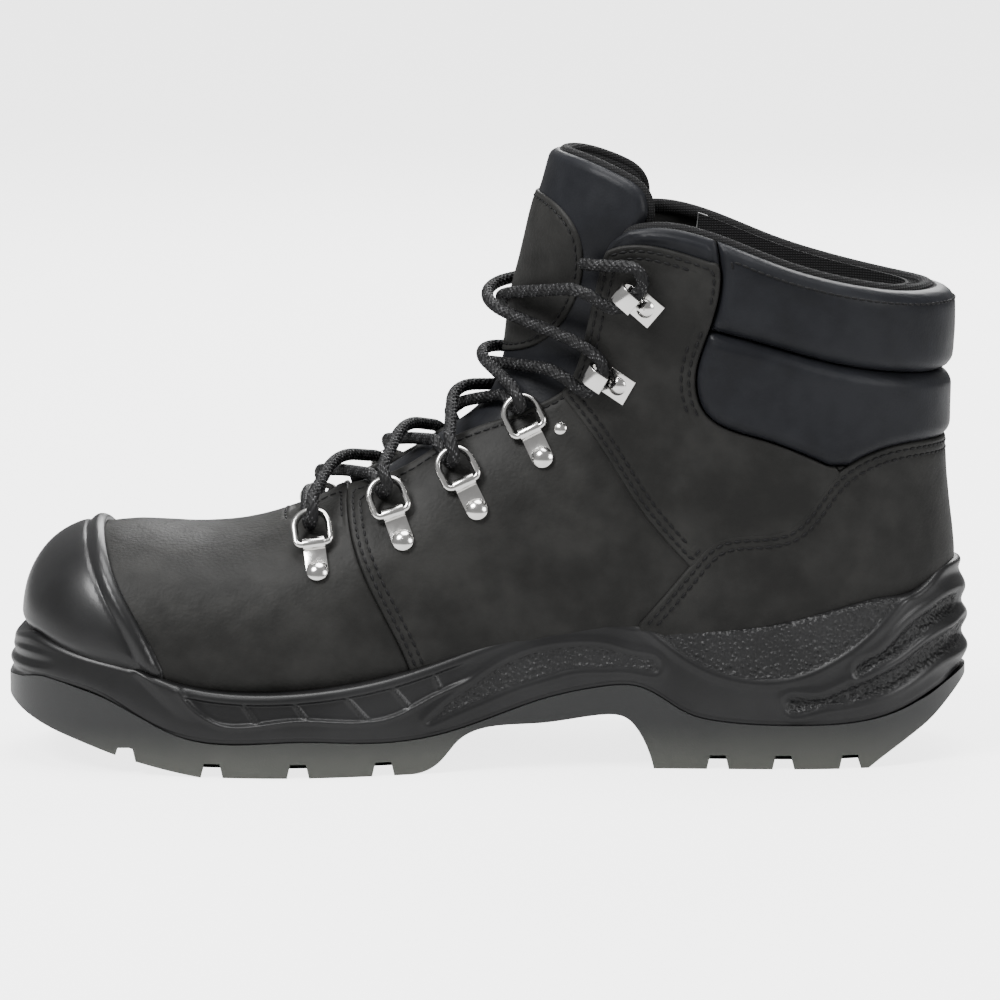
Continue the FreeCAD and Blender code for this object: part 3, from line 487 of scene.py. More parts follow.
def place_tree():
    """Geometry nodes: one thread stitch on every point, along one attribute, upright on another."""
    tree = bpy.data.node_groups.new("place_stitches", "GeometryNodeTree")
    face = tree.interface
    face.new_socket("Geometry", in_out="INPUT", socket_type="NodeSocketGeometry")
    face.new_socket("Geometry", in_out="OUTPUT", socket_type="NodeSocketGeometry")
    for name, value in (("Length", 0.0024), ("Width", 0.0008), ("Height", 0.0006), ("Turn", 0.12)):
        s = face.new_socket(name, in_out="INPUT", socket_type="NodeSocketFloat")
        s.default_value = value
    face.new_socket("Material", in_out="INPUT", socket_type="NodeSocketMaterial")
    nodes, link = tree.nodes, tree.links.new
    start, end = nodes.new("NodeGroupInput"), nodes.new("NodeGroupOutput")
    ball = nodes.new("GeometryNodeMeshUVSphere")
    ball.inputs["Segments"].default_value = 8
    ball.inputs["Rings"].default_value = 7
    ball.inputs["Radius"].default_value = 0.5
    size = nodes.new("ShaderNodeCombineXYZ")
    for i, name in enumerate(("Length", "Width", "Height")):
        link(start.outputs[name], size.inputs[i])
    shaped = nodes.new("GeometryNodeTransform")
    link(ball.outputs["Mesh"], shaped.inputs["Geometry"])
    link(size.outputs[0], shaped.inputs["Scale"])
    turns = []
    for axis, name in (("X", "ahead"), ("Z", "up")):
        source = nodes.new("GeometryNodeInputNamedAttribute")
        source.data_type = "FLOAT_VECTOR"
        source.inputs["Name"].default_value = name
        turn = nodes.new("FunctionNodeAlignRotationToVector")
        turn.axis = axis
        if axis == "Z":
            turn.pivot_axis = "X"
            link(turns[0].outputs["Rotation"], turn.inputs["Rotation"])
        link(source.outputs["Attribute"], turn.inputs["Vector"])
        turns.append(turn)
    jitter = nodes.new("FunctionNodeRandomValue")
    jitter.data_type = "FLOAT"
    jitter.inputs["Seed"].default_value = 4
    minus = nodes.new("ShaderNodeMath")
    minus.operation = "MULTIPLY"
    minus.inputs[1].default_value = -1
    link(start.outputs["Turn"], minus.inputs[0])
    float_in = [s for s in jitter.inputs if s.type == "VALUE" and s.enabled]
    link(minus.outputs[0], float_in[0])
    link(start.outputs["Turn"], float_in[1])
    spin = nodes.new("ShaderNodeCombineXYZ")
    link([s for s in jitter.outputs if s.type == "VALUE" and s.enabled][0], spin.inputs[2])
    to_rotation = nodes.new("FunctionNodeEulerToRotation")
    link(spin.outputs[0], to_rotation.inputs[0])
    rotate = nodes.new("FunctionNodeRotateRotation")
    rotate.rotation_space = "LOCAL"
    link(turns[1].outputs["Rotation"], rotate.inputs["Rotation"])
    link(to_rotation.outputs[0], rotate.inputs["Rotate By"])
    place = nodes.new("GeometryNodeInstanceOnPoints")
    link(start.outputs["Geometry"], place.inputs["Points"])
    link(shaped.outputs["Geometry"], place.inputs["Instance"])
    link(rotate.outputs["Rotation"], place.inputs["Rotation"])
    real = nodes.new("GeometryNodeRealizeInstances")
    link(place.outputs["Instances"], real.inputs["Geometry"])
    paint = nodes.new("GeometryNodeSetMaterial")
    link(real.outputs["Geometry"], paint.inputs["Geometry"])
    link(start.outputs["Material"], paint.inputs["Material"])
    shade = nodes.new("GeometryNodeSetShadeSmooth")
    link(paint.outputs["Geometry"], shade.inputs["Geometry"])
    link(shade.outputs["Geometry"], end.inputs["Geometry"])
    return tree


def instanced(name, tree, points, ahead, up, **values):
    """Run a placing tree over points and return its plain mesh."""
    source = make_object(name + "_points", points, [])
    for key, data in (("ahead", ahead), ("up", up)):
        layer = source.data.attributes.new(key, "FLOAT_VECTOR", "POINT")
        layer.data.foreach_set("vector", np.asarray(data, np.float32).ravel())
    modifier = source.modifiers.new("place", "NODES")
    modifier.node_group = tree
    for key, value in values.items():
        modifier[socket_id(tree, key)] = value
    graph = bpy.context.evaluated_depsgraph_get()
    graph.update()
    mesh = bpy.data.meshes.new_from_object(source.evaluated_get(graph), depsgraph=graph)
    mesh.name = name
    obj = bpy.data.objects.new(name, mesh)
    bpy.context.scene.collection.objects.link(obj)
    bpy.data.objects.remove(source)
    return obj


# ---------------------------------------------------------------- materials
class Val:
    """A shader socket that takes part in arithmetic."""

    def __init__(self, tree, socket):
        self.tree, self.socket = tree, socket

    def math(self, operation, *others, first=True):
        node = self.tree.nodes.new("ShaderNodeMath")
        node.operation = operation
        items = [self, *others] if first else [others[0], self]
        for i, item in enumerate(items):
            if isinstance(item, Val):
                self.tree.links.new(item.socket, node.inputs[i])
            else:
                node.inputs[i].default_value = item
        return Val(self.tree, node.outputs[0])

    def __add__(self, o):
        return self.math("ADD", o)

    def __mul__(self, o):
        return self.math("MULTIPLY", o)

    def __sub__(self, o):
        return self.math("SUBTRACT", o)

    def __rsub__(self, o):
        return self.math("SUBTRACT", o, first=False)

    def __truediv__(self, o):
        return self.math("DIVIDE", o)

    __radd__, __rmul__ = __add__, __mul__

    def clamp(self, low, high):
        """Smooth step from 0 at low to 1 at high."""
        node = self.tree.nodes.new("ShaderNodeMapRange")
        node.interpolation_type = "SMOOTHSTEP"
        self.tree.links.new(self.socket, node.inputs["Value"])
        node.inputs["From Min"].default_value = low
        node.inputs["From Max"].default_value = high
        return Val(self.tree, node.outputs["Result"])

    def mix(self, a, b):
        """Colour between a and b."""
        node = self.tree.nodes.new("ShaderNodeMix")
        node.data_type = "RGBA"
        self.tree.links.new(self.socket, node.inputs[0])
        for i, item in ((6, a), (7, b)):
            if isinstance(item, Val):
                self.tree.links.new(item.socket, node.inputs[i])
            else:
                node.inputs[i].default_value = (*item, 1)
        return Val(self.tree, node.outputs[2])


class Paint:
    """A material under construction."""

    def __init__(self, name, color, roughness, metallic=0.0, coat=0.0, coat_roughness=0.3, specular=0.5):
        self.material = bpy.data.materials.new(name)
        self.material.use_nodes = True
        self.tree = self.material.node_tree
        self.shader = self.tree.nodes["Principled BSDF"]
        self.set("Base Color", color if isinstance(color, Val) else (*color, 1))
        self.set("Roughness", roughness)
        self.set("Metallic", metallic)
        self.set("Coat Weight", coat)
        self.set("Coat Roughness", coat_roughness)
        self.set("Specular IOR Level", specular)
        coords = self.tree.nodes.new("ShaderNodeTexCoord")
        self.place = Val(self.tree, coords.outputs["Object"])
        self.material.diffuse_color = (*color, 1) if not isinstance(color, Val) else (.2, .2, .2, 1)

    def set(self, name, value):
        if isinstance(value, Val):
            self.tree.links.new(value.socket, self.shader.inputs[name])
        else:
            self.shader.inputs[name].default_value = value

    def texture(self, kind, scale, place=None, output=0, **options):
        node = self.tree.nodes.new(kind)
        self.tree.links.new((place or self.place).socket, node.inputs["Vector"])
        if "Scale" in node.inputs:
            node.inputs["Scale"].default_value = scale
        for key, value in options.items():
            if key in node.inputs:
                node.inputs[key].default_value = value
            else:
                setattr(node, key, value)
        return Val(self.tree, node.outputs[output])

    def noise(self, scale, detail=2.0, roughness=0.5, place=None):
        return self.texture("ShaderNodeTexNoise", scale, place, Detail=detail, Roughness=roughness)

    def cells(self, scale, feature="F1", place=None, randomness=1.0):
        return self.texture("ShaderNodeTexVoronoi", scale, place, feature=feature, Randomness=randomness)

    def read(self, name):
        node = self.tree.nodes.new("ShaderNodeAttribute")
        node.attribute_name = name
        return Val(self.tree, node.outputs["Fac"])

    def stretched(self, x, y, z):
        node = self.tree.nodes.new("ShaderNodeMapping")
        node.inputs["Scale"].default_value = (x, y, z)
        self.tree.links.new(self.place.socket, node.inputs["Vector"])
        return Val(self.tree, node.outputs[0])

    def bump(self, height, distance, strength=1.0):
        node = self.tree.nodes.new("ShaderNodeBump")
        node.inputs["Strength"].default_value = strength
        node.inputs["Distance"].default_value = distance
        self.tree.links.new(height.socket, node.inputs["Height"])
        self.set("Normal", Val(self.tree, node.outputs["Normal"]))


def leather(name, dark, light, grain, depth, rough):
    p = Paint(name, dark, rough, specular=0.14)
    cells = p.cells(1000 / grain, "SMOOTH_F1")
    fine = p.noise(2600, 3)
    broad = p.noise(28, 3, 0.6)
    worn = p.noise(140, 3)
    shade = (broad * 0.7 + worn * 0.3).clamp(0.36, 0.68)
    p.set("Base Color", shade.mix(dark, light))
    p.set("Roughness", (broad * 0.18 + fine * 0.12) + (rough - 0.15))
    p.bump(cells * 0.7 + fine * 0.5 + worn * 0.8, depth)
    return p.material


def knit(name, dark, light, pitch, depth):
    """Ribbed mesh cloth."""
    p = Paint(name, dark, 0.85, specular=0.25)
    waves = p.texture("ShaderNodeTexWave", 1000 / pitch / 6.3, p.stretched(1, 1, 1), output=1,
                      bands_direction="X")
    cross = p.texture("ShaderNodeTexWave", 1000 / pitch / 6.3, p.stretched(1, 1, 1), output=1,
                      bands_direction="Z")
    fine = p.noise(1500, 2)
    height = waves * cross + fine * 0.4
    p.set("Base Color", height.clamp(0.1, 0.9).mix(dark, light))
    p.bump(height, depth)
    return p.material


def metal(name, color, rough):
    p = Paint(name, color, rough, metallic=1.0)
    p.set("Roughness", p.noise(900, 3) * 0.10 + (rough - 0.04))
    p.bump(p.noise(60, 2) + p.noise(1400, 2) * 0.02, 0.00006)
    return p.material


def moulded(name, dark, light, rough, coat, grain=0.00003):
    p = Paint(name, dark, rough, coat=coat, coat_roughness=0.25, specular=0.3)
    broad = p.noise(35, 3)
    fine = p.noise(2200, 2)
    p.set("Base Color", broad.clamp(0.35, 0.7).mix(dark, light))
    p.set("Roughness", fine * 0.14 + broad * 0.1 + (rough - 0.12))
    p.bump(fine + p.noise(500, 2) * 0.5, grain)
    return p.material


HIDE = leather("hide", (0.0115, 0.0114, 0.0108), (0.0235, 0.0232, 0.0220), 1.1, 0.00012, 0.52)
SOFT = leather("soft_leather", (0.0085, 0.0090, 0.0108), (0.0145, 0.0153, 0.0182), 0.8, 0.00005, 0.42)
KNIT = knit("knit", (0.0025, 0.0025, 0.0028), (0.0120, 0.0120, 0.0125), 0.42, 0.00025)
THREAD = Paint("thread", (0.0055, 0.0055, 0.0060), 0.6, specular=0.2).material
NICKEL = metal("nickel", (0.78, 0.77, 0.75), 0.16)
BUMPER = moulded("bumper", (0.0075, 0.0075, 0.0078), (0.012, 0.012, 0.0125), 0.38, 0.16)


def pebbled(name):
    """Moulded wall, pebbled where its attribute says so."""
    p = Paint(name, (0.006, 0.006, 0.0062), 0.42, coat=0.06, specular=0.3)
    mask = p.read("pebble")
    cells = p.cells(780, "SMOOTH_F1")
    fine = p.noise(2200, 2)
    broad = p.noise(35, 3)
    p.set("Base Color", broad.clamp(0.35, 0.7).mix((0.0075, 0.0075, 0.0078), (0.013, 0.013, 0.0135)))
    p.set("Roughness", mask * 0.08 + fine * 0.12 + 0.32)
    p.bump((1.0 - cells * 1.4) * mask + fine * 0.04, 0.0007)
    return p.material


MIDSOLE = pebbled("midsole")
STEEL = metal("steel", (0.5, 0.5, 0.5), 0.4)
FOAM = Paint("foam", (0.25, 0.25, 0.25), 0.9).material
BOARD = Paint("board", (0.40, 0.31, 0.21), 0.85).material


def smoky(name):
    p = Paint(name, (0.02, 0.022, 0.021), 0.38, specular=0.5)
    broad = p.noise(40, 2)
    split_z = p.tree.nodes.new("ShaderNodeSeparateXYZ")
    p.tree.links.new(p.place.socket, split_z.inputs[0])
    edge = Val(p.tree, split_z.outputs["Z"]) + broad * 0.006
    p.set("Base Color", edge.clamp(0.002, 0.020).mix((0.075, 0.078, 0.068), (0.014, 0.0147, 0.0147)))
    p.set("Roughness", p.noise(1800, 2) * 0.15 + 0.30)
    p.shader.inputs["Transmission Weight"].default_value = 0.12
    p.shader.inputs["Subsurface Weight"].default_value = 0.25
    p.shader.inputs["Subsurface Radius"].default_value = (0.6, 0.8, 0.7)
    p.shader.inputs["Subsurface Scale"].default_value = 0.004
    p.bump(p.noise(1500, 2), 0.00003)
    return p.material


OUTSOLE = smoky("outsole")


def braid(name):
    p = Paint(name, (0.006, 0.006, 0.0065), 0.55, specular=0.25)
    fleck = p.read("fleck")
    p.set("Base Color", fleck.clamp(0.4, 0.7).mix((0.0050, 0.0050, 0.0055), (0.085, 0.085, 0.088)))
    p.bump(p.noise(5000, 2), 0.00004)
    return p.material


BRAID = braid("braid")

# ---------------------------------------------------------------- outlines in side view
THROAT_OPENING = outline(THROAT, corners((44, 173), (44, 215), (-64, 215), (-64, 78.5)))
BELOW_TOPLINE = outline(TOPLINE, corners((158, 152), (158, -10), (-170, -10), (-170, 173), (44, 173)))
VAMP_AREA = outline(VAMP_SEAM, corners((-20, 5), (-170, 5), (-170, 100), (-45.5, 100), (-45.5, 95)))
QUARTER_AREA = outline(PANEL_REAR, corners((108.5, 97.6), (158, 97.6), (158, 5), (-20, 5)),
                       VAMP_SEAM[::-1], corners((-45.5, 95), (-45.5, 180), (71.5, 180), (71.5, 172)))
COUNTER_AREA = outline(COUNTER_TOP, corners((158, 102.5), (158, 20), (48.3, 20), (48.3, 46.5)))
PANEL_AREA = outline(MID_SEAM, corners((64.2, 65.7), (64.2, 55), (112, 55), (112, 163.4), (70.7, 163.4)),
                     PANEL_TOP)
UPPER_PUFF = outline(PUFF_SEAM, corners((158, 124), (158, 152)), TOPLINE[::-1],
                     corners((44, 173), (44, 143.5), (60, 143.5)))
LOWER_PUFF = outline(PUFF_SEAM[::-1], corners((60, 143.5), (60, 90), (158, 90), (158, 124)))
TONGUE_AREA = outline(TONGUE_EDGE, TONGUE_TOP, corners((0, 196), (-70, 196), (-70, 62), (-64, 62)))
PATCH_AREA = outline(PATCH_EDGE, corners((-12, 130), (-12, 182), (4, 182)))
BUMPER_AREA = outline(BEAD_REAR, corners((-104, 33.2), (-104, 20), (-170, 20), (-170, 95), (-127, 95), (-127, 84)))


def above_sole(x, z, drop=6.0):
    return z - curve_z(FEATHER, x) + drop


def vamp_depth(x, z):
    return np.minimum(np.minimum(depth_in(VAMP_AREA, x, z), -depth_in(THROAT_OPENING, x, z)),
                      above_sole(x, z))


def quarter_depth(x, z):
    d = np.minimum(depth_in(QUARTER_AREA, x, z), depth_in(BELOW_TOPLINE, x, z))
    return np.minimum(np.minimum(d, -depth_in(THROAT_OPENING, x, z)), above_sole(x, z))


def counter_depth(x, z):
    return np.minimum(depth_in(COUNTER_AREA, x, z), above_sole(x, z))


def panel_depth(x, z):
    d = np.minimum(depth_in(PANEL_AREA, x, z), depth_in(QUARTER_AREA, x, z))
    return np.minimum(np.minimum(d, -depth_in(THROAT_OPENING, x, z)),
                      -depth_in(COUNTER_AREA, x, z) + 1.0)


def strip_depth(x, z):
    """Into the soft strip between the ankle panel's top and the topline."""
    return np.minimum(-depth_in(PANEL_AREA, x, z), np.minimum(z - 150, x - 30))


def upper_puff_depth(x, z):
    return np.minimum(depth_in(UPPER_PUFF, x, z), -depth_in(QUARTER_AREA, x, z))


def lower_puff_depth(x, z):
    return np.minimum(np.minimum(depth_in(LOWER_PUFF, x, z), -depth_in(QUARTER_AREA, x, z)),
                      -depth_in(COUNTER_AREA, x, z) + 0.5)


def tongue_depth(x, z):
    return depth_in(TONGUE_AREA, x, z)


def patch_depth(x, z):
    return depth_in(PATCH_AREA, x, z)


def bumper_depth(x, z):
    return np.minimum(depth_in(BUMPER_AREA, x, z), above_sole(x, z, 7.0))


def relief(p, amount=1.0):
    return amount * (0.20 * noise(p, 17, 1) + 0.08 * noise(p, 6, 2) + 0.03 * noise(p, 2.4, 3))


def groove(depth, at, width=0.55, amount=0.28):
    return amount * np.exp(-((depth - at) / width) ** 2)


ROLL = (0.12, 0.4, 0.9)
ROWS = (1.5, 2.0, 2.5, 3.9, 4.4, 4.9)


def seen(x, z, y):
    """Places above the sole."""
    return z > curve_z(FEATHER, x) + 1.0


# ---------------------------------------------------------------- leather pieces
def leather_pieces():
    made = {}
    vamp = Piece(vamp_depth, 0, ROLL + (1.5, 2.0, 2.5))
    outer = vamp.rounded(0, 0.8) + relief(vamp.point, 1.2)
    outer = outer - groove(vamp.depth, 2.0) * (vamp.point[:, 2] > 77)
    made["vamp"] = vamp.solid("upper_vamp", outer, -LEATHER, HIDE)
    stitch_rows(vamp, outer, 2.0, lambda x, z, y: (x < -47) & (z > 77) & (x > -66))

    for side, name in ((-1, "medial"), (1, "lateral")):
        quarter = Piece(quarter_depth, LAP, ROLL + ROWS, side)
        front = (quarter.point[:, 0] < -8) & (quarter.point[:, 2] < 90)
        outer = quarter.rounded(LAP, 0.9) + relief(quarter.point)
        strip = strip_depth(quarter.point[:, 0], quarter.point[:, 2])
        outer = outer + 1.3 * ease(strip, 0, 3.5) * ease(quarter.depth, 0, 3.0)
        outer = outer - groove(quarter.depth, 2.0) - groove(quarter.depth, 4.4) * front
        obj = made["quarter_" + name] = quarter.solid("upper_quarter_" + name, outer, -LEATHER, HIDE)
        obj.data.materials.append(SOFT)
        soft = np.r_[strip[quarter.faces].mean(1) > -0.4, np.zeros(len(obj.data.polygons) - len(quarter.faces), bool)]
        obj.data.polygons.foreach_set("material_index", soft.astype(int))
        stitch_rows(quarter, outer, 2.0, lambda x, z, y: seen(x, z, y) & (x < 30))
        stitch_rows(quarter, outer, 4.4, lambda x, z, y: seen(x, z, y) & (x < -8) & (z < 88))

        panel = Piece(panel_depth, LAP + OVERLAY, ROLL + ROWS, side)
        outer = panel.rounded(LAP + OVERLAY, 0.9) + relief(panel.point)
        rear = (panel.point[:, 0] > 66)
        outer = outer - groove(panel.depth, 2.0) * ~rear - groove(panel.depth, 4.4) * ~rear
        made["ankle_panel_" + name] = panel.solid("upper_ankle_panel_" + name, outer, LAP - .3, HIDE)
        stitch_rows(panel, outer, 2.0, lambda x, z, y: (x < 68) | (z > 150))
        stitch_rows(panel, outer, 4.4, lambda x, z, y: (x < 64) & (z < 166))

    counter = Piece(counter_depth, LAP + OVERLAY, ROLL + ROWS)
    outer = counter.rounded(LAP + OVERLAY, 0.9) + relief(counter.point)
    high = counter.point[:, 2] > 55
    outer = outer - groove(counter.depth, 2.0) * high - groove(counter.depth, 4.4) * high
    made["heel_counter_cover"] = counter.solid("upper_heel_counter", outer, LAP - 1.5, HIDE)
    stitch_rows(counter, outer, 2.0, lambda x, z, y: seen(x, z, y))
    stitch_rows(counter, outer, 4.4, lambda x, z, y: seen(x, z, y))

    for key, depth, roll in (("upper", upper_puff_depth, 6.0), ("lower", lower_puff_depth, 5.0)):
        puff = Piece(depth, LAP + 1.0, (0.25, 0.8, 1.8, 3.4, 3.9, 4.4))
        outer = puff.rounded(LAP + PUFF + 0.6, roll) + relief(puff.point, 1.5)
        inner = -LEATHER - 2 - 6.0 * puff.pad + 0.4
        t = 1 - np.clip(puff.depth / 4, 0, 1)
        inner = inner + 3.0 * (1 - np.sqrt(1 - t * t)) * (puff.point[:, 2] > 140)
        made["collar_" + key] = puff.solid("collar_puff_" + key, outer, np.minimum(inner, outer - 1.5), SOFT, KNIT)
        if key == "upper":
            stitch_rows(puff, outer, 3.9,
                        lambda x, z, y: depth_in(BELOW_TOPLINE, x, z) < 6.5, pitch=2.6)
    return made


def tongue_pieces():
    tongue = Piece(tongue_depth, TONGUE_OUT, (0.3, 0.9, 1.8, 3.2))
    outer = tongue.rounded(TONGUE_OUT, 3.2) + relief(tongue.point, 1.4)
    t = 1 - np.clip(tongue.depth / 3.5, 0, 1)
    inner = TONGUE_OUT - TONGUE_THICK + 3.5 * (1 - np.sqrt(1 - t * t))
    body = tongue.solid("tongue_padded", outer, np.minimum(inner, outer - 1.0), SOFT, KNIT)
    patch = Piece(patch_depth, TONGUE_OUT, (0.12, 0.4, 0.9, 1.5, 2.0, 2.5))
    lift = patch.rounded(TONGUE_OUT + 0.9, 0.8) + relief(patch.point, 1.4) - groove(patch.depth, 2.0)
    label = patch.solid("tongue_badge", lift, TONGUE_OUT - 0.6, HIDE)
    stitch_rows(patch, lift, 2.0, lambda x, z, y: x > -10, body="tongue")
    return body, label


def bumper_piece():
    toe = Piece(bumper_depth, SCUFF_WALL, (0.15, 0.5, 1.1, 1.8, 2.5, 3.2, 3.9, 4.5, 5.1, 5.7, 6.3, 7.0))
    near = depth_in(BUMPER_AREA, toe.point[:, 0], toe.point[:, 2])
    rib = np.cos(np.clip((near - 2.5) / 3.1, -1, 1) * np.pi / 2) ** 1.3 * BEAD_HEIGHT
    line = 0.35 * np.exp(-((near - 5.9) / 0.5) ** 2)
    tuck = ease(toe.point[:, 2] - curve_z(FEATHER, toe.point[:, 0]), -1.5, 4.0)
    t = 1 - np.clip(near / 1.0, 0, 1)
    wall = SCUFF_WALL - 1.3 - 1.0 * (1 - np.sqrt(1 - t * t)) + 1.3 * ease(near, 1, 9)
    outer = 0.3 + (wall - 0.3 - line) * tuck + rib * (0.3 + 0.7 * tuck) + 0.04 * noise(toe.point, 12, 5)
    return toe.solid("toe_bumper", outer, -0.4, BUMPER)


def binding(name, run, offset, radius, body, closed=False):
    """Knitted roll along an edge."""
    step = np.linalg.norm(np.diff(run, axis=0), axis=1)
    t = np.r_[0, np.cumsum(step)]
    even = np.linspace(0, t[-1], int(t[-1] / 1.5))
    pts = np.stack([np.interp(even, t, run[:, i]) for i in range(3)], 1)
    for _ in range(4):
        pts[1:-1] = (pts[:-2] + 2 * pts[1:-1] + pts[2:]) / 4
    verts, faces, _, _ = tube(pts + np.array([0, 0, offset]), radius, 18)
    obj = make_object(name, verts, facing_out(verts, faces), KNIT)
    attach(obj, body)


def bindings():
    edge = Piece(lambda x, z: np.minimum(depth_in(BELOW_TOPLINE, x, z), x - 43), LAP + 1.0)
    runs = edge.seam(0.0, lambda x, z, y: (x > 43.4) & (z > 140))
    run = np.array(max(runs, key=len))
    pad = edge.pad[run][:, None]
    binding("collar_binding", edge.point[run] - edge.normal[run] * (1.3 + 3.6 * pad), -0.6, 2.4, "boot")
    top = Piece(tongue_depth, TONGUE_OUT)
    runs = top.seam(0.0, lambda x, z, y: z > 172)
    run = np.array(max(runs, key=len))
    at = TONGUE_OUT - TONGUE_THICK / 2 - 0.6
    binding("tongue_binding", top.point[run] + top.normal[run] * at, -0.4, 2.0, "tongue")


PARTS = leather_pieces()
for _name, _obj in PARTS.items():
    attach(_obj, "boot")
    if _name.startswith("collar"):
        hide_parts(_name + "_cover", _name + "_foam")
    else:
        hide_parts(_name)
_tongue, _badge = tongue_pieces()
for _obj, _nodes in ((_tongue, ("tongue_leather", "tongue_foam", "tongue_lining")),
                     (_badge, ("tongue_patch",))):
    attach(_obj, "tongue")
    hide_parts(*_nodes)
_bumper = bumper_piece()
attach(_bumper, "boot")
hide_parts("toe_scuff_cap")

_place = place_tree()
for _body in ("boot", "tongue"):
    rows = [r for r in STITCHES if r[0] == _body]
    threads = instanced("stitches_" + _body, _place, np.vstack([r[1] for r in rows]),
                        np.vstack([r[2] for r in rows]), np.vstack([r[3] for r in rows]),
                        Length=0.0025, Width=0.00085, Height=0.0007, Turn=0.10, Material=THREAD)
    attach(threads, _body)


# ---------------------------------------------------------------- tubes and hardware
def tube(points, radius, around, closed=False, shape=None):
    """Round tube along points; `shape` gives the radius from length and angle."""
    pts = np.asarray(points, float)
    ahead = (np.roll(pts, -1, 0) - np.roll(pts, 1, 0)) if closed else np.gradient(pts, axis=0)
    ahead /= np.linalg.norm(ahead, axis=1, keepdims=True)
    side = np.zeros_like(pts)
    v = np.cross(ahead[0], [0, 0, 1.0])
    if np.linalg.norm(v) < 0.1:
        v = np.cross(ahead[0], [0, 1.0, 0])
    for i, a in enumerate(ahead):
        v = v - a * v.dot(a)
        v = v / np.linalg.norm(v)
        side[i] = v
    up = np.cross(ahead, side)
    s = np.r_[0, np.cumsum(np.linalg.norm(np.diff(pts, axis=0), axis=1))]
    angle = np.linspace(0, 2 * np.pi, around, endpoint=False)
    ss, aa = np.meshgrid(s, angle, indexing="ij")
    r = np.full(ss.shape, radius) if shape is None else shape(ss, aa)
    verts = (pts[:, None] + side[:, None] * (r * np.cos(aa))[..., None]
             + up[:, None] * (r * np.sin(aa))[..., None])
    rows = len(pts)
    flat = verts.reshape(-1, 3)
    if closed:
        flat2 = flat
        i, j = np.meshgrid(np.arange(rows), np.arange(around), indexing="ij")
        a, b = i * around + j, i * around + (j + 1) % around
        c, d = ((i + 1) % rows) * around + j, ((i + 1) % rows) * around + (j + 1) % around
        faces = np.concatenate([np.stack([a, b, d], -1).reshape(-1, 3), np.stack([a, d, c], -1).reshape(-1, 3)])
        return flat2, faces, ss, aa
    faces = grid_faces(rows, around)
    ends = [np.stack([np.full(around, len(flat)), np.roll(np.arange(around), -1), np.arange(around)], 1)[:, [0, 1, 2]],
            np.stack([np.full(around, len(flat) + 1), (rows - 1) * around + np.arange(around),
                      (rows - 1) * around + np.roll(np.arange(around), -1)], 1)]
    flat = np.vstack([flat, pts[0], pts[-1]])
    return flat, np.vstack([faces, *ends]), ss, aa


def facing_out(verts, faces):
    """Turn the faces outwards by the sign of the volume."""
    a, b, c = (verts[faces[:, i]] for i in range(3))
    return faces if (a * np.cross(b, c)).sum() > 0 else faces[:, ::-1]


def surface_frame(offset, rivet, facing, side):
    """Point, outward normal and facing direction on the master surface."""
    x, z = rivet
    shifted = POINTS + NORMALS * offset
    miss = (shifted[:, 0] - x) ** 2 + (shifted[:, 2] - z) ** 2 + 1e6 * (shifted[:, 1] * side < 2)
    near = np.argsort(miss)[:9]
    a = np.stack([np.ones(9), shifted[near, 0] - x, shifted[near, 2] - z], 1)
    y = np.linalg.lstsq(a, shifted[near, 1], rcond=None)[0]
    normal = np.array([-y[1], 1, -y[2]]) * side
    normal /= np.linalg.norm(normal)
    ahead = np.array([facing[0] - x, 0, facing[1] - z], float)
    ahead -= normal * ahead.dot(normal)
    ahead /= np.linalg.norm(ahead)
    return np.array([x, y[0], z]) - normal * SEAT, normal, ahead


def to_frame(local, where):
    point, normal, ahead = where
    across = np.cross(normal, ahead)
    local = np.asarray(local, float)
    return point + local[:, :1] * ahead + local[:, 1:2] * across + local[:, 2:3] * normal


def ring_points():
    h, c, a = RING_HALF_WIDTH, RING_CORNER, RING_DEPTH - RING_HALF_WIDTH
    pts = [(0, y) for y in np.linspace(-h + c, h - c, 10)]
    pts += [(c - c * math.cos(t), h - c + c * math.sin(t)) for t in np.linspace(0, math.pi / 2, 9)[1:]]
    pts += [(x, h) for x in np.linspace(c, a, 6)[1:-1]]
    pts += [(a + h * math.sin(t), h * math.cos(t)) for t in np.linspace(0, math.pi, 33)]
    pts += [(x, -h) for x in np.linspace(a, c, 6)[1:-1]]
    pts += [(c - c * math.cos(t), -h + c - c * math.sin(t)) for t in np.linspace(math.pi / 2, 0, 9)[:-1]]
    return np.array([(x, y, 0) for x, y in pts])


def refined(node, name, width=0.00018):
    """The CAD piece's own shape with its hard edges eased."""
    import bmesh
    bm = bmesh.new()
    bm.from_mesh(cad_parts[node].data)
    bmesh.ops.remove_doubles(bm, verts=bm.verts, dist=2e-6)
    bmesh.ops.dissolve_limit(bm, angle_limit=math.radians(1.5), verts=bm.verts, edges=bm.edges)
    hard = [e for e in bm.edges if len(e.link_faces) == 2 and e.calc_face_angle(0) > math.radians(32)]
    bmesh.ops.bevel(bm, geom=hard, offset=width, offset_type="OFFSET", segments=2, profile=0.6,
                    affect="EDGES", clamp_overlap=True)
    mesh = bpy.data.meshes.new(name)
    bm.to_mesh(mesh)
    bm.free()
    mesh.polygons.foreach_set("use_smooth", [True] * len(mesh.polygons))
    obj = bpy.data.objects.new(name, mesh)
    bpy.context.scene.collection.objects.link(obj)
    mesh.materials.clear()
    mesh.materials.append(NICKEL)
    return obj


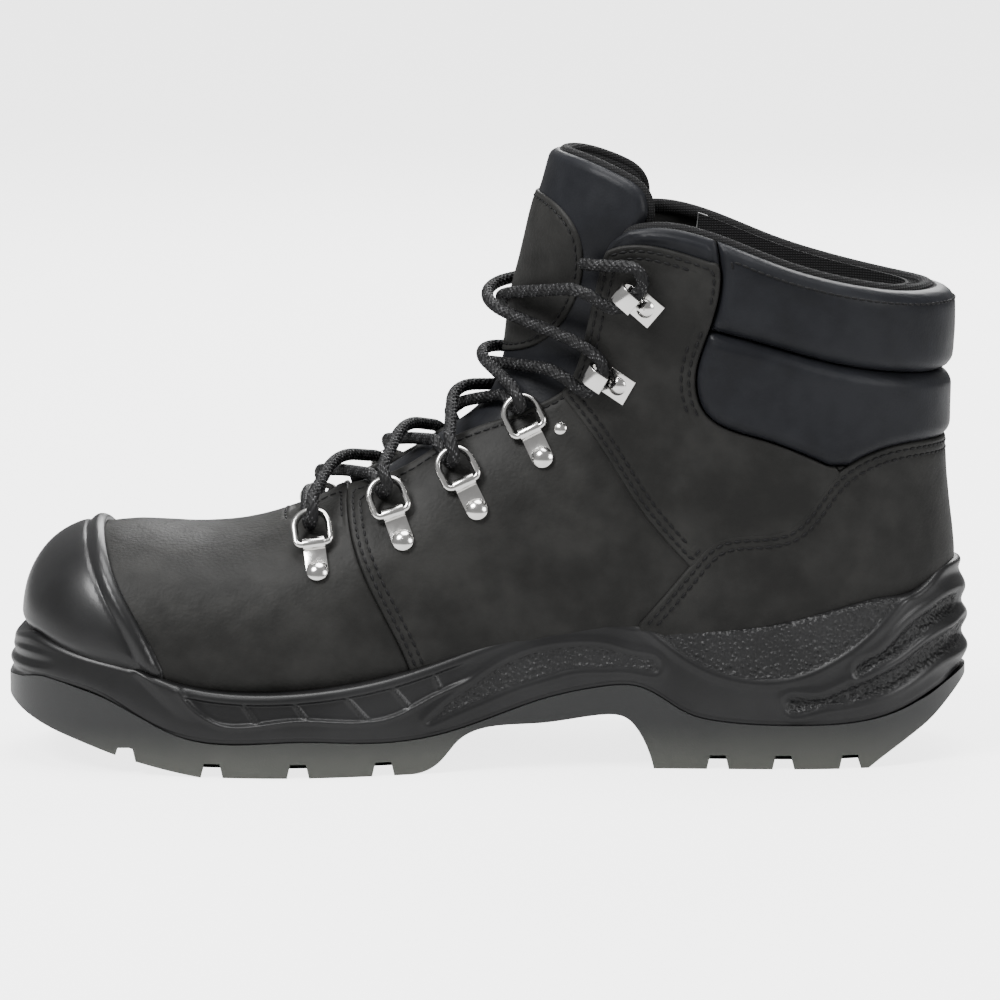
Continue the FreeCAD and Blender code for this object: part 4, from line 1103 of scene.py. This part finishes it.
def hardware():
    bar = RING_WIRE / 2 + 0.05 + CLIP_SHEET
    loop = ring_points() + [RIVET_TO_BAR, 0, bar]
    for side, name in ((-1, "medial"), (1, "lateral")):
        for i, (rivet, facing) in enumerate(RINGS):
            where = surface_frame(0 if i == 0 else LAP, rivet, facing, side)
            verts, faces, _, _ = tube(to_frame(loop, where), RING_WIRE / 2, 18, closed=True)
            tag = "%s_%d" % (name, i + 1)
            ring = make_object("ring_" + tag, verts, facing_out(verts, faces), NICKEL)
            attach(ring, "ring_" + tag)
            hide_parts("d_ring_" + tag)
            clip = refined("ring_clip_" + tag, "clip_" + tag)
            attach(clip, "boot")
            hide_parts("ring_clip_" + tag)
        for i in range(len(HOOKS)):
            tag = "%s_%d" % (name, i + 1)
            hook = refined("speed_hook_" + tag, "hook_" + tag)
            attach(hook, "boot")
            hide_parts("speed_hook_" + tag)


bindings()
hardware()


def route_points(step=0.45):
    """Straight runs and tangent arcs along the lace's route."""
    pts = np.array(LACE_ROUTE, float)
    out = [pts[0]]
    for a, b, c in zip(pts, pts[1:], pts[2:]):
        u, w = b - a, c - b
        cut = 0.45 * min(np.linalg.norm(u), np.linalg.norm(w))
        u, w = u / np.linalg.norm(u), w / np.linalg.norm(w)
        turn = math.acos(np.clip(u.dot(w), -1, 1))
        p, q = b - u * cut, b + w * cut
        radius = cut / math.tan(turn / 2)
        inward = (w - u) / np.linalg.norm(w - u)
        centre = b + inward * radius / math.cos(turn / 2)
        run = np.linalg.norm(p - out[-1])
        out += [out[-1] + (p - out[-1]) * t for t in np.linspace(0, 1, max(2, int(run / step)))[1:]]
        for t in np.linspace(0, turn, max(3, int(radius * turn / step)))[1:]:
            out.append(centre + (p - centre) * math.cos(t) + u * radius * math.sin(t))
    out += [out[-1] + (pts[-1] - out[-1]) * t for t in np.linspace(0, 1, 8)[1:]]
    return np.array(out)


def lace():
    def woven(s, a):
        one = np.cos(6 * a + s * 2.9)
        two = np.cos(6 * a - s * 2.9)
        return LACE / 2 - 0.30 + 0.30 * np.maximum(one, two)
    verts, faces, s, a = tube(route_points(), LACE / 2, 42, shape=woven)
    obj = make_object("lace_braided", verts, facing_out(verts, faces), BRAID)
    turn = np.floor((a * 6 + s * 2.9) / (2 * np.pi)) % 6
    fleck = (turn % 3 < 1) * (np.cos(6 * a + s * 2.9) > 0.3) * (np.cos(6 * a - s * 2.9) < 0.5)
    attribute(obj, "fleck", np.r_[fleck.ravel(), 0, 0])
    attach(obj, "boot")
    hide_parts("lace")


lace()

# ---------------------------------------------------------------- sole unit
JOINT = ([(-157, 25), (-150, 28), (-136, 27.9), (-123.2, 24.5), (-109, 16.5)] + SOLE_JOINT[5:-2]
         + [(148, 25), (157, 28)])
WAVE = [(-99.5, 29.8), (-95.5, 23.3), (-90.4, 19.1), (-84.6, 16.7), (-78.5, 16.4), (-70, 17.4),
        (-62.3, 18.3), (-53, 18.1), (-38.5, 17.4), (-29.2, 19.1), (-21.7, 22.7), (-10, 28), (4, 33.5)]
BARS = (((-81, 27.3), (-74, 17.8)), ((-63.6, 26.5), (-57.7, 18.6)), ((-47, 27.8), (-38, 17.5)),
        ((-31, 29), (-25, 21.5)), ((-17, 31.7), (-15.3, 27.6)))
ARCH_PAD = [(-19, 16.7), (-14, 21.5), (-4.6, 28.2), (7, 35.2), (19, 38.8), (28.4, 39.7), (37.8, 39.1),
            (47.2, 36.6), (54.3, 33.4), (54.3, 32.6), (47.2, 32.3), (37.8, 32.8), (28.4, 32.6), (19, 30.4),
            (7, 26.8), (-4.6, 22.1), (-13, 18.8)]
HEEL_PAD = [(50, 47), (56.6, 41.5), (63.7, 36.4), (71.8, 32.2), (81.4, 29.6), (90.8, 29.1), (100.2, 30.9),
            (108.5, 34.4), (116.8, 39.3), (125, 45.7), (132, 52.5), (136.8, 58)]
UPPER_FINGER = [(117.3, 32.3), (123.8, 36.4), (130.9, 41.8), (138.8, 47.9), (145.6, 51.1), (152.6, 52.9),
                (152.7, 46.8), (148, 45), (140.8, 42), (133.3, 36.5), (125, 32.8), (117.3, 30.5)]
LOWER_FINGER = [(95, 22), (103.8, 23.2), (113.2, 26.1), (123.8, 30), (133.3, 34.8), (140.8, 38.9),
                (149.5, 42.1), (153.7, 44.4), (154, 35.5), (151, 34.3), (143.4, 31.7), (135.7, 27.6),
                (126.2, 23.6), (115.6, 20.9), (105, 19.4), (95.5, 19.4)]
BEAD_RUN = ((-113.5, 38), (-106, 31), (-99, 24.5), (-93.5, 19))
OUTSOLE_FALL = ((-157, .58), (-150, .64), (-143, .74), (-136, .81), (-123, .90), (-109, 1.0), (131, 1.0),
                (137.5, .99), (142, .95), (148.5, .915), (157, .87))


def from_run(run, x, z):
    """Distance from a run of straight lines."""
    best = np.full(x.shape, 1e9)
    for (ax, az), (bx, bz) in zip(run, run[1:]):
        ux, uz = bx - ax, bz - az
        t = np.clip(((x - ax) * ux + (z - az) * uz) / (ux * ux + uz * uz), 0, 1)
        best = np.minimum(best, np.hypot(x - ax - t * ux, z - az - t * uz))
    return best


def midsole_relief(x, z, low):
    """Relief of the moulded wall and where it is pebbled."""
    feather = curve_z(FEATHER, x)
    wave = np.array(smooth(WAVE))
    panel = np.minimum(feather - 2.9 - z, z - np.interp(x, *wave.T))
    panel = np.minimum(panel, x + 99) * (x < 2)
    fade = 1 - ease(x, -14, -3)
    inside = ease(panel, -0.2, 0.9) * fade
    d = -1.2 * inside
    for bar in BARS:
        d += 0.95 * inside * np.exp(-(from_run(bar, x, z) / 0.55) ** 2)
    d += 0.6 * np.exp(-(from_run(smooth(WAVE, 6), x, z) / 0.75) ** 2) * fade
    d += 1.5 * np.exp(-(from_run(BEAD_RUN, x, z) / 3.2) ** 4) * ease(z, 17, 28)
    pebble = np.zeros(x.shape)
    pads = ((smooth(ARCH_PAD, closed=True), 0.5, 1.2), (smooth(UPPER_FINGER, closed=True), 1.7, 2.6),
            (smooth(LOWER_FINGER, closed=True), 1.7, 2.6))
    pads = [(outline(poly), deep, soft) for poly, deep, soft in pads]
    pads.append((outline(HEEL_PAD, corners((137, 75), (50, 75), (50, 47))), 0.9, 0.9))
    for poly, deep, soft in pads:
        depth = depth_in(poly, x, z)
        d -= deep * ease(depth, -0.6, soft)
        d += 0.5 * np.exp(-((depth + 1.6) / 1.3) ** 2)
        pebble = np.maximum(pebble, ease(depth, 0.0, 0.8))
    toe = ease(-x, 138, 149)
    d += 0.5 * toe * np.cos((z - 36.5) * 2 * np.pi / 5.2) * ease(feather - z, 3, 6)
    heel = ease(x, 143, 152)
    d += 0.9 * heel * np.cos((z - 33) * 2 * np.pi / 10.5)
    edge = ease(z - low, 1.2, 2.2)
    return d - 0.35 * (1 - edge) * (1 - toe), pebble


def midsole_visual():
    plan = smooth(SOLE_PLAN, 60, closed=True)
    loop = np.vstack([plan, plan[:1]])
    gap = np.r_[0, np.cumsum(np.linalg.norm(np.diff(loop, axis=0), axis=1))]
    count = int(gap[-1] / (0.72))
    t = np.linspace(0, gap[-1], count, endpoint=False)
    c = np.stack([np.interp(t, gap, loop[:, 0]), np.interp(t, gap, loop[:, 1])], 1)
    along = np.roll(c, -1, 0) - np.roll(c, 1, 0)
    along /= np.linalg.norm(along, axis=1, keepdims=True)
    inward = np.stack([-along[:, 1], along[:, 0]], 1)
    if (inward * -c).sum() < 0:
        inward = -inward
    low, top = curve_z(JOINT, c[:, 0]) - 0.35, curve_z(FEATHER, c[:, 0])
    rows = 64
    h = np.linspace(0, 1, rows)[None, :]
    h = 0.6 * h + 0.2 * (1 - np.cos(np.pi * h))
    z = low[:, None] + (top - low)[:, None] * h
    x = np.repeat(c[:, :1], rows, 1)
    d, pebble = midsole_relief(x, z, low[:, None])
    roll = 2.2
    t_top = 1 - np.clip((top[:, None] - z) / roll, 0, 1)
    inset = 0.3 - d + roll * (1 - np.sqrt(1 - np.minimum(t_top, 1) ** 2)) + 1.2 * ease(h, 0.2, 1)
    t_low = 1 - np.clip((z - low[:, None]) / 0.8, 0, 1)
    inset = inset + 0.8 * (1 - np.sqrt(1 - np.minimum(t_low, 1) ** 2))
    deep = 8 + 6 * ease(np.abs(c[:, 0] - 3), 95, 140)
    extra = [(deep, top), (deep, low + 1), (deep * 0.5, low)]
    ring = [np.column_stack([c + inward * inset[:, k:k + 1], z[:, k]]) for k in range(rows)]
    ring += [np.column_stack([c + inward * far[:, None], height]) for far, height in extra]
    grid = np.stack(ring, 1)
    n, m = grid.shape[:2]
    i, j = np.meshgrid(np.arange(n), np.arange(m), indexing="ij")
    a, b = i * m + j, i * m + (j + 1) % m
    e, f = ((i + 1) % n) * m + j, ((i + 1) % n) * m + (j + 1) % m
    faces = np.concatenate([np.stack([a, b, f], -1).reshape(-1, 3), np.stack([a, f, e], -1).reshape(-1, 3)])
    verts = grid.reshape(-1, 3)
    obj = make_object("midsole_wall", verts, facing_out(verts, faces), MIDSOLE)
    attribute(obj, "pebble", np.pad(pebble, ((0, 0), (0, len(extra)))).ravel())
    return obj


def outsole_visual():
    """The CAD outsole with its toe and heel lips brought down to the tips."""
    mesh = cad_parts["outsole"].data.copy()
    mesh.name = "outsole_shaped"
    co = np.zeros(len(mesh.vertices) * 3, np.float32)
    mesh.vertices.foreach_get("co", co)
    co = co.reshape(-1, 3)
    fall = np.array(OUTSOLE_FALL)
    co[:, 2] *= np.interp(co[:, 0] / MM, fall[:, 0], fall[:, 1])
    mesh.vertices.foreach_set("co", co.ravel())
    mesh.materials.clear()
    mesh.materials.append(OUTSOLE)
    mesh.polygons.foreach_set("use_smooth", [True] * len(mesh.polygons))
    mesh.set_sharp_from_angle(angle=math.radians(28))
    mesh.update()
    obj = bpy.data.objects.new("outsole_shaped", mesh)
    bpy.context.scene.collection.objects.link(obj)
    return obj


for _obj, _node in ((midsole_visual(), "midsole"), (outsole_visual(), "outsole")):
    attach(_obj, "boot")
    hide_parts(_node)

# ---------------------------------------------------------------- finishes of the CAD pieces
FINISH = {"shaft_lining": KNIT, "vamp_lining": KNIT,
          "footbed": KNIT, "gusset_medial": SOFT, "gusset_lateral": SOFT, "steel_toe_cap": STEEL,
          "shank": STEEL, "lasting_board": BOARD, "heel_counter_stiffener": BOARD,
          "bottom_filler": FOAM, "vamp_interlining": FOAM, "quarter_interlining": FOAM,
          "reinforcing_rivet_medial": NICKEL, "reinforcing_rivet_lateral": NICKEL}
for _node, _material in FINISH.items():
    _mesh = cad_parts[_node].data
    _mesh.materials.clear()
    _mesh.materials.append(_material)

# ---------------------------------------------------------------- floor, light, camera
def floor_paint():
    """Pale floor that turns white away from the boot."""
    p = Paint("floor", (0.62, 0.62, 0.62), 0.7, specular=0.2)
    rays = p.tree.nodes.new("ShaderNodeLightPath")
    p.set("Emission Color", Val(p.tree, rays.outputs["Is Camera Ray"]).mix((0, 0, 0), (1, 1, 1)))
    p.set("Emission Strength", 3.2)
    return p.material


floor = make_object("floor", [(-4e4, -4e4, 0), (4e4, -4e4, 0), (4e4, 4e4, 0), (-4e4, 4e4, 0)],
                    [(0, 1, 2, 3)], floor_paint())


def area_light(name, place, aim, size, power, color=(1, 1, 1)):
    data = bpy.data.lights.new(name, "AREA")
    data.shape, data.size, data.energy, data.color = "DISK", size, power, color
    obj = bpy.data.objects.new(name, data)
    obj.location = place
    obj.rotation_euler = (Vector(aim) - Vector(place)).to_track_quat("-Z", "Y").to_euler()
    bpy.context.scene.collection.objects.link(obj)


area_light("key", (-1.0, -0.8, 1.5), (0, 0, 0.08), 0.8, 50)
area_light("fill", (1.5, -1.0, 0.8), (0, 0, 0.08), 0.9, 18)
area_light("top", (0.1, 0.1, 1.8), (0, 0, 0.05), 1.2, 40)
area_light("rim", (0.3, 1.5, 1.0), (0, 0, 0.1), 1.0, 24)
world = bpy.data.worlds.new("studio")
world.use_nodes = True
_back = world.node_tree.nodes["Background"]
_back.inputs["Color"].default_value = (1, 1, 1, 1)
_rays = world.node_tree.nodes.new("ShaderNodeLightPath")
_seen = Val(world.node_tree, _rays.outputs["Is Camera Ray"]) * 3.7 + 0.30
world.node_tree.links.new(_seen.socket, _back.inputs["Strength"])
bpy.context.scene.world = world

camera = bpy.data.cameras.new("camera")
camera.sensor_width = 36
camera.lens = 199.2
camera.clip_end = 90
_tilt = math.radians(9)
_eye = Vector((3.7, -1800 * math.cos(_tilt), 81 + 1800 * math.sin(_tilt))) * MM
_view = bpy.data.objects.new("camera", camera)
_view.location = _eye
_view.rotation_euler = (Vector((3.7, 0, 81)) * MM - _eye).to_track_quat("-Z", "Y").to_euler()
bpy.context.scene.collection.objects.link(_view)
bpy.context.scene.camera = _view
